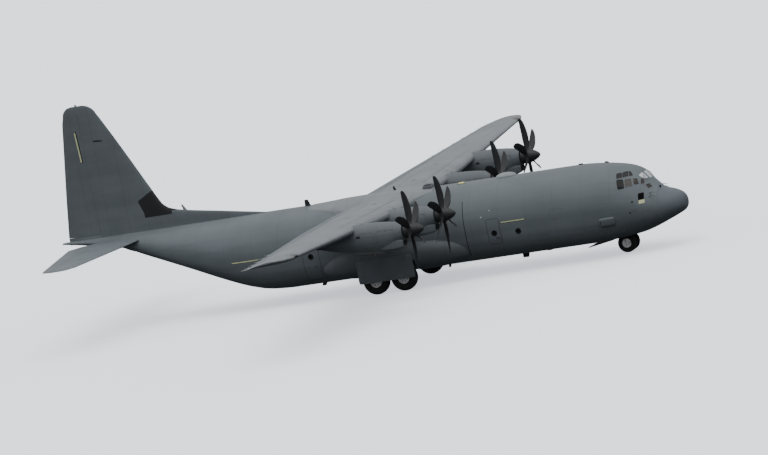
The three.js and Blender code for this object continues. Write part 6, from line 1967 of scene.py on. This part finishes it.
# %% Hold
HOLD = (6.0, 21.3)
FLOOR_HEIGHT = 1.03
SKIN_INSET = 0.125
FRAME_STEP, FRAME_HALF, FRAME_DEEP = 0.51, 0.03, 0.05
WING_BOX = (13.6, 19.3)  # the wing's box crosses the roof here, and the frames are behind its lining
# A frame's section. Columns: distance aft, distance in from the skin.
FRAME_SECTION = [(-FRAME_HALF, SKIN_INSET), (-FRAME_HALF, SKIN_INSET + FRAME_DEEP),
                 (FRAME_HALF, SKIN_INSET + FRAME_DEEP), (FRAME_HALF, SKIN_INSET)]
turns = np.linspace(-0.72, math.pi + 0.72, 44)
frames = [solid_from_rings(np.stack([hull_ring(s + aft, inset, turns) for aft, inset in FRAME_SECTION], 1))
          for s in np.arange(HOLD[0], HOLD[1] + 0.01, FRAME_STEP) if not WING_BOX[0] < s < WING_BOX[1]]
add_piece("hold_frames", bay_paint, frames, "cabin_lining")


def tie_down_ring(surface, s, y, out):
    """A small ring that lies on a floor."""
    turn = np.linspace(0, 2 * np.pi, 15)[:-1]
    loop = surface(s + 0.045 * np.cos(turn), y + 0.045 * np.sin(turn), out)
    return pipe(np.concatenate([loop, loop[:1]]), 0.008, 8)


def hold_floor(s, y, out):
    """The hold's floor as a surface of (station, y)."""
    return place(s, y, FLOOR_HEIGHT + out)


RAILS, RAIL_Y = (6.1, 21.4), (-1.15, -0.95, -0.35, 0.35, 0.95, 1.15)
ROLLER_STEP, ROLLER_Y, ROLLER_HALF = 0.3, (-1.05, 1.05), 0.08
RING_STEP, RING_Y = 1.02, (-0.65, 0.0, 0.65)
rail_z, roller_z = FLOOR_HEIGHT + 0.012, FLOOR_HEIGHT + 0.022
rails = [bar_between((RAILS[0], y, rail_z), (RAILS[1], y, rail_z), 0.045, 0.03) for y in RAIL_Y]
rollers = [rod([(s, y - ROLLER_HALF, roller_z), (s, y + ROLLER_HALF, roller_z)], 0.02, 10)
           for s in np.arange(6.3, HOLD[1], ROLLER_STEP) for y in ROLLER_Y]
rings = [tie_down_ring(hold_floor, s, y, 0.009) for s in np.arange(6.6, 21.2, RING_STEP) for y in RING_Y]
add_piece("floor_rails", bare_steel, rails, "cabin_lining")
add_piece("floor_rollers", floor_plate, rollers, "cabin_lining")
add_piece("tie_down_rings", dark_metal, rings, "cabin_lining")

# Folding seats along both walls: a padded pan and back on a tube frame.
SEAT_HEIGHT = FLOOR_HEIGHT + 0.43
TUBE_HEIGHT = FLOOR_HEIGHT + 0.42
SEAT_PAN = [(0.03, 0.0), (0.6, 0.004), (0.95, 0.02), (1.0, 0.015), (1.0, -0.02), (0.9, -0.03),
            (0.03, -0.035)]
SEAT_BACK = [(0.03, 0.0), (0.95, 0.0), (1.0, -0.006), (1.0, -0.02), (0.95, -0.026), (0.03, -0.026)]


def seat_pan(sign):
    """The seats' pans as a level surface of (station, distance from the middle)."""
    return lambda s, y, out: place(s, sign * y, SEAT_HEIGHT + out)


def seat_back(sign):
    """The seats' backs as a leaning surface of (station, height)."""
    return lambda s, z, out: place(s, sign * (1.83 + out - 0.1 * (z - 1.6)), z)


SEAT_STEP, SEAT_LENGTH = 0.56, 0.5
SEAT_FRONT, SEAT_REAR = 1.35, 1.78  # distances of a pan's edges from the middle
seats, tubes = [], []
for _, sign in SIDES:
    y = sign * SEAT_FRONT
    for s in np.arange(7.2, 13.0, SEAT_STEP):
        pan = box_outline(s, s + SEAT_LENGTH, SEAT_FRONT, SEAT_REAR, 36, 6)
        back = box_outline(s + 0.02, s + SEAT_LENGTH - 0.02, 1.55, 2.15, 36, 6)
        seats += [plate(seat_pan(sign), pan, SEAT_PAN), plate(seat_back(sign), back, SEAT_BACK)]
    tubes.append(rod([(7.1, y, TUBE_HEIGHT), (13.2, y, TUBE_HEIGHT)], 0.02))
    tubes += [rod([(s, y, FLOOR_HEIGHT), (s, y, TUBE_HEIGHT)], 0.016)
              for s in np.arange(7.2, 13.2, 2 * SEAT_STEP)]
add_piece("hold_seats", seat_web, seats, "cabin_lining")
add_piece("hold_seat_tubes", floor_plate, tubes, "cabin_lining")


def hold_ceiling(s, y, out):
    """The hold's ceiling as a level surface of (station, y), measured downwards."""
    return place(s, y, 4.5 - out)


LAMP_LAYERS = [(0.05, 0.05), (0.8, 0.05), (0.95, 0.04), (1.0, 0.0), (1.0, -0.05)]
lamps = [plate(hold_ceiling, box_outline(s - 0.2, s + 0.2, y - 0.06, y + 0.06, 32, 6), LAMP_LAYERS)
         for s in (6.9, 8.9, 10.9, 12.6) for y in (-0.7, 0.7)]
add_piece("hold_ceiling_lamps", cabin_lamp, lamps, "window_glass")
print("hold: frames", len(frames), "rollers", len(rollers), "seats", len(seats))

# %% [markdown]
# The ramp's inner face continues the floor when it is down, so it carries the same rails and rings, and
# two ribbed tread strips for wheels. They ride on the ramp's body.

# %% Ramp face
RAMP_FACE = ((21.72, 1.045), (24.72, 1.807))  # station and height of its front and its rear
RAMP_BEAD = [(0.1, 0.02), (0.7, 0.02), (0.95, 0.016), (1.0, 0.0), (1.0, -0.02)]


def ramp_face(s, y, out):
    """The ramp's inner face as a surface of (station, y), lifted square to its slope."""
    (front, low), (rear, high) = RAMP_FACE
    slope = (high - low) / (rear - front)
    long = math.hypot(1, slope)
    return place(s - slope / long * out, y, low + (s - front) * slope + out / long)


RAMP_RAIL_Y, RAMP_RAIL_HALF = (-1.35, -0.4, 0.4, 1.35), 0.022
TREAD_Y, TREAD_HALF, TREAD_STEP = (-0.88, 0.88), 0.3, 0.15
strips = [plate(ramp_face, box_outline(22.0, 24.6, y - RAMP_RAIL_HALF, y + RAMP_RAIL_HALF, 60, 8), RAMP_BEAD)
          for y in RAMP_RAIL_Y]
treads = [plate(ramp_face, box_outline(s, s + 0.05, y - TREAD_HALF, y + TREAD_HALF, 40, 6), RAMP_BEAD)
          for s in np.arange(22.1, 24.5, TREAD_STEP) for y in TREAD_Y]
loops = [tie_down_ring(ramp_face, s, y, 0.006) for s in (22.4, 23.2, 24.0) for y in (-0.55, 0.0, 0.55)]
add_piece("ramp_rails", bare_steel, strips, "cabin_lining", "cargo_ramp")
add_piece("ramp_treads", floor_plate, treads, "cabin_lining", "cargo_ramp")
add_piece("ramp_rings", dark_metal, loops, "cabin_lining", "cargo_ramp")
print("ramp: rails", len(strips), "treads", len(treads))

# %% [markdown]
# The crew door folds down and becomes a stair, so its inner face carries three wedge steps. Their upper
# faces are level when the door is fully open.

# %% Crew door steps
DOOR_OPEN = math.radians(115)
DOOR_MIDDLE, DOOR_INSET = 5.25, -0.11
STEP_STATIONS = [4.93, *np.linspace(4.95, 5.55, 5), 5.57]
STEP_RISE = 0.26
# From a step's foot to the front of its upper face with the door shut, as (y, height).
tread_y, tread_z = 0.24 * math.cos(DOOR_OPEN), 0.24 * math.sin(DOOR_OPEN)
steps = []
for z in (1.3, 1.62, 1.94):
    foot, top = real(side_wall(1)(DOOR_MIDDLE, np.array([z, z + STEP_RISE]), DOOR_INSET))[1]
    y = np.array([foot + 0.02, foot, foot + tread_y, foot + tread_y + 0.01, top + 0.02])
    heights = np.array([z, z, z + tread_z, z + tread_z + 0.02, z + STEP_RISE])
    steps.append(solid_from_rings([place(s, y, heights) for s in STEP_STATIONS]))
add_piece("crew_door_steps", floor_plate, steps, "cabin_lining", "crew_door")
print("crew door steps:", len(steps))

# %% [markdown]
# The flight deck shows a little through its panes: seats with crowned cushions, screens in the panel
# under a black glare shield, control wheels, and four power levers on the console between the seats.

# %% Flight deck
SEATS = [(2.95, 0.62), (2.95, -0.62), (4.4, 0.0)]  # station and y
CUSHION = [(0.03, 0.1), (0.5, 0.095), (0.8, 0.08), (0.95, 0.05), (1.0, 0.02), (0.97, -0.005), (0.03, -0.005)]
BACK_AND_HEAD = ((2.6, 3.14, 0.21), (3.2, 3.42, 0.13))  # from and to height, half width
BEZEL = [(-0.004, -0.01), (-0.004, 0.012), (0.015, 0.012), (0.02, 0.0), (0.02, -0.01)]
SHIELD_LAYERS = [(0.03, 0.03), (0.7, 0.03), (0.97, 0.022), (1.0, 0.01), (0.97, 0.0), (0.03, 0.0)]
LEVER_RADII = [0.008, 0.008, 0.02, 0.014]


def seat_top(s, y, out):
    """The seats' level as a surface of (station, y)."""
    return place(s, y, 2.47 + out)


def seat_rest(station):
    """A seat's upright back as a surface of (y, height)."""
    return lambda y, z, out: place(station + 0.18 - out, y, z)


def panel_face(y, z, out):
    """The instrument panel's rear face as a surface of (y, height)."""
    return place(2.3 + out, y, z)


def shield_top(aft, y, out):
    """The glare shield as a surface of (distance aft of its front, y), which falls away to its sides."""
    return place(1.8 + aft - out * 0.4, y, 3.1 + 0.04 * aft / 0.6 - 0.12 * np.abs(y) ** 2 / 1.7 + out)


cushions, levers = [], []
for s, y in SEATS:
    cushions.append(plate(seat_top, box_outline(s - 0.26, s + 0.17, y - 0.24, y + 0.24), CUSHION))
    cushions += [plate(seat_rest(s), box_outline(y - half, y + half, low, high), CUSHION)
                 for low, high, half in BACK_AND_HEAD]
places = [(panel_face, box_outline(y - 0.12, y + 0.12, 2.64, 2.88))
          for y in (-0.95, -0.62, -0.16, 0.16, 0.62, 0.95)]
screens = each(plate, places, lid(0.004, 0.004, flat=0.9))
shield = plate(shield_top, box_outline(0.0, 0.62, -1.22, 1.22, 64, 12), SHIELD_LAYERS)
turn = np.linspace(-0.6, math.pi + 0.6, 15)
for y in (-0.62, 0.62):
    levers.append(rod([(2.62, y, 2.05), (2.58, y, 2.5), (2.48, y, 2.78)], 0.02))
    wheel_arc = [2.47 + 0 * turn, y + 0.15 * np.cos(turn), 2.86 - 0.13 * np.sin(turn)]
    levers.append(rod(np.stack(wheel_arc, 1), 0.014))
levers += [rod([(2.7, y, 2.6), (2.66, y, 2.74), (2.65, y, 2.76), (2.645, y, 2.79)], LEVER_RADII)
           for y in (-0.09, -0.03, 0.03, 0.09)]
add_piece("flight_deck_cushions", seat_cloth, cushions, "cabin_lining")
add_piece("panel_screens", dark_window, screens, "cabin_lining")
add_piece("panel_bezels", black_rubber_and_hole_shade, each(rim, places, BEZEL) + [shield], "cabin_lining")
add_piece("control_wheels_and_levers", dark_metal, levers, "cabin_lining")
print("flight deck: seats", len(SEATS), "screens", len(screens))

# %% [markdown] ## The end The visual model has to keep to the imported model's box, and only the lamp on
# the fin's cap stands out of it.
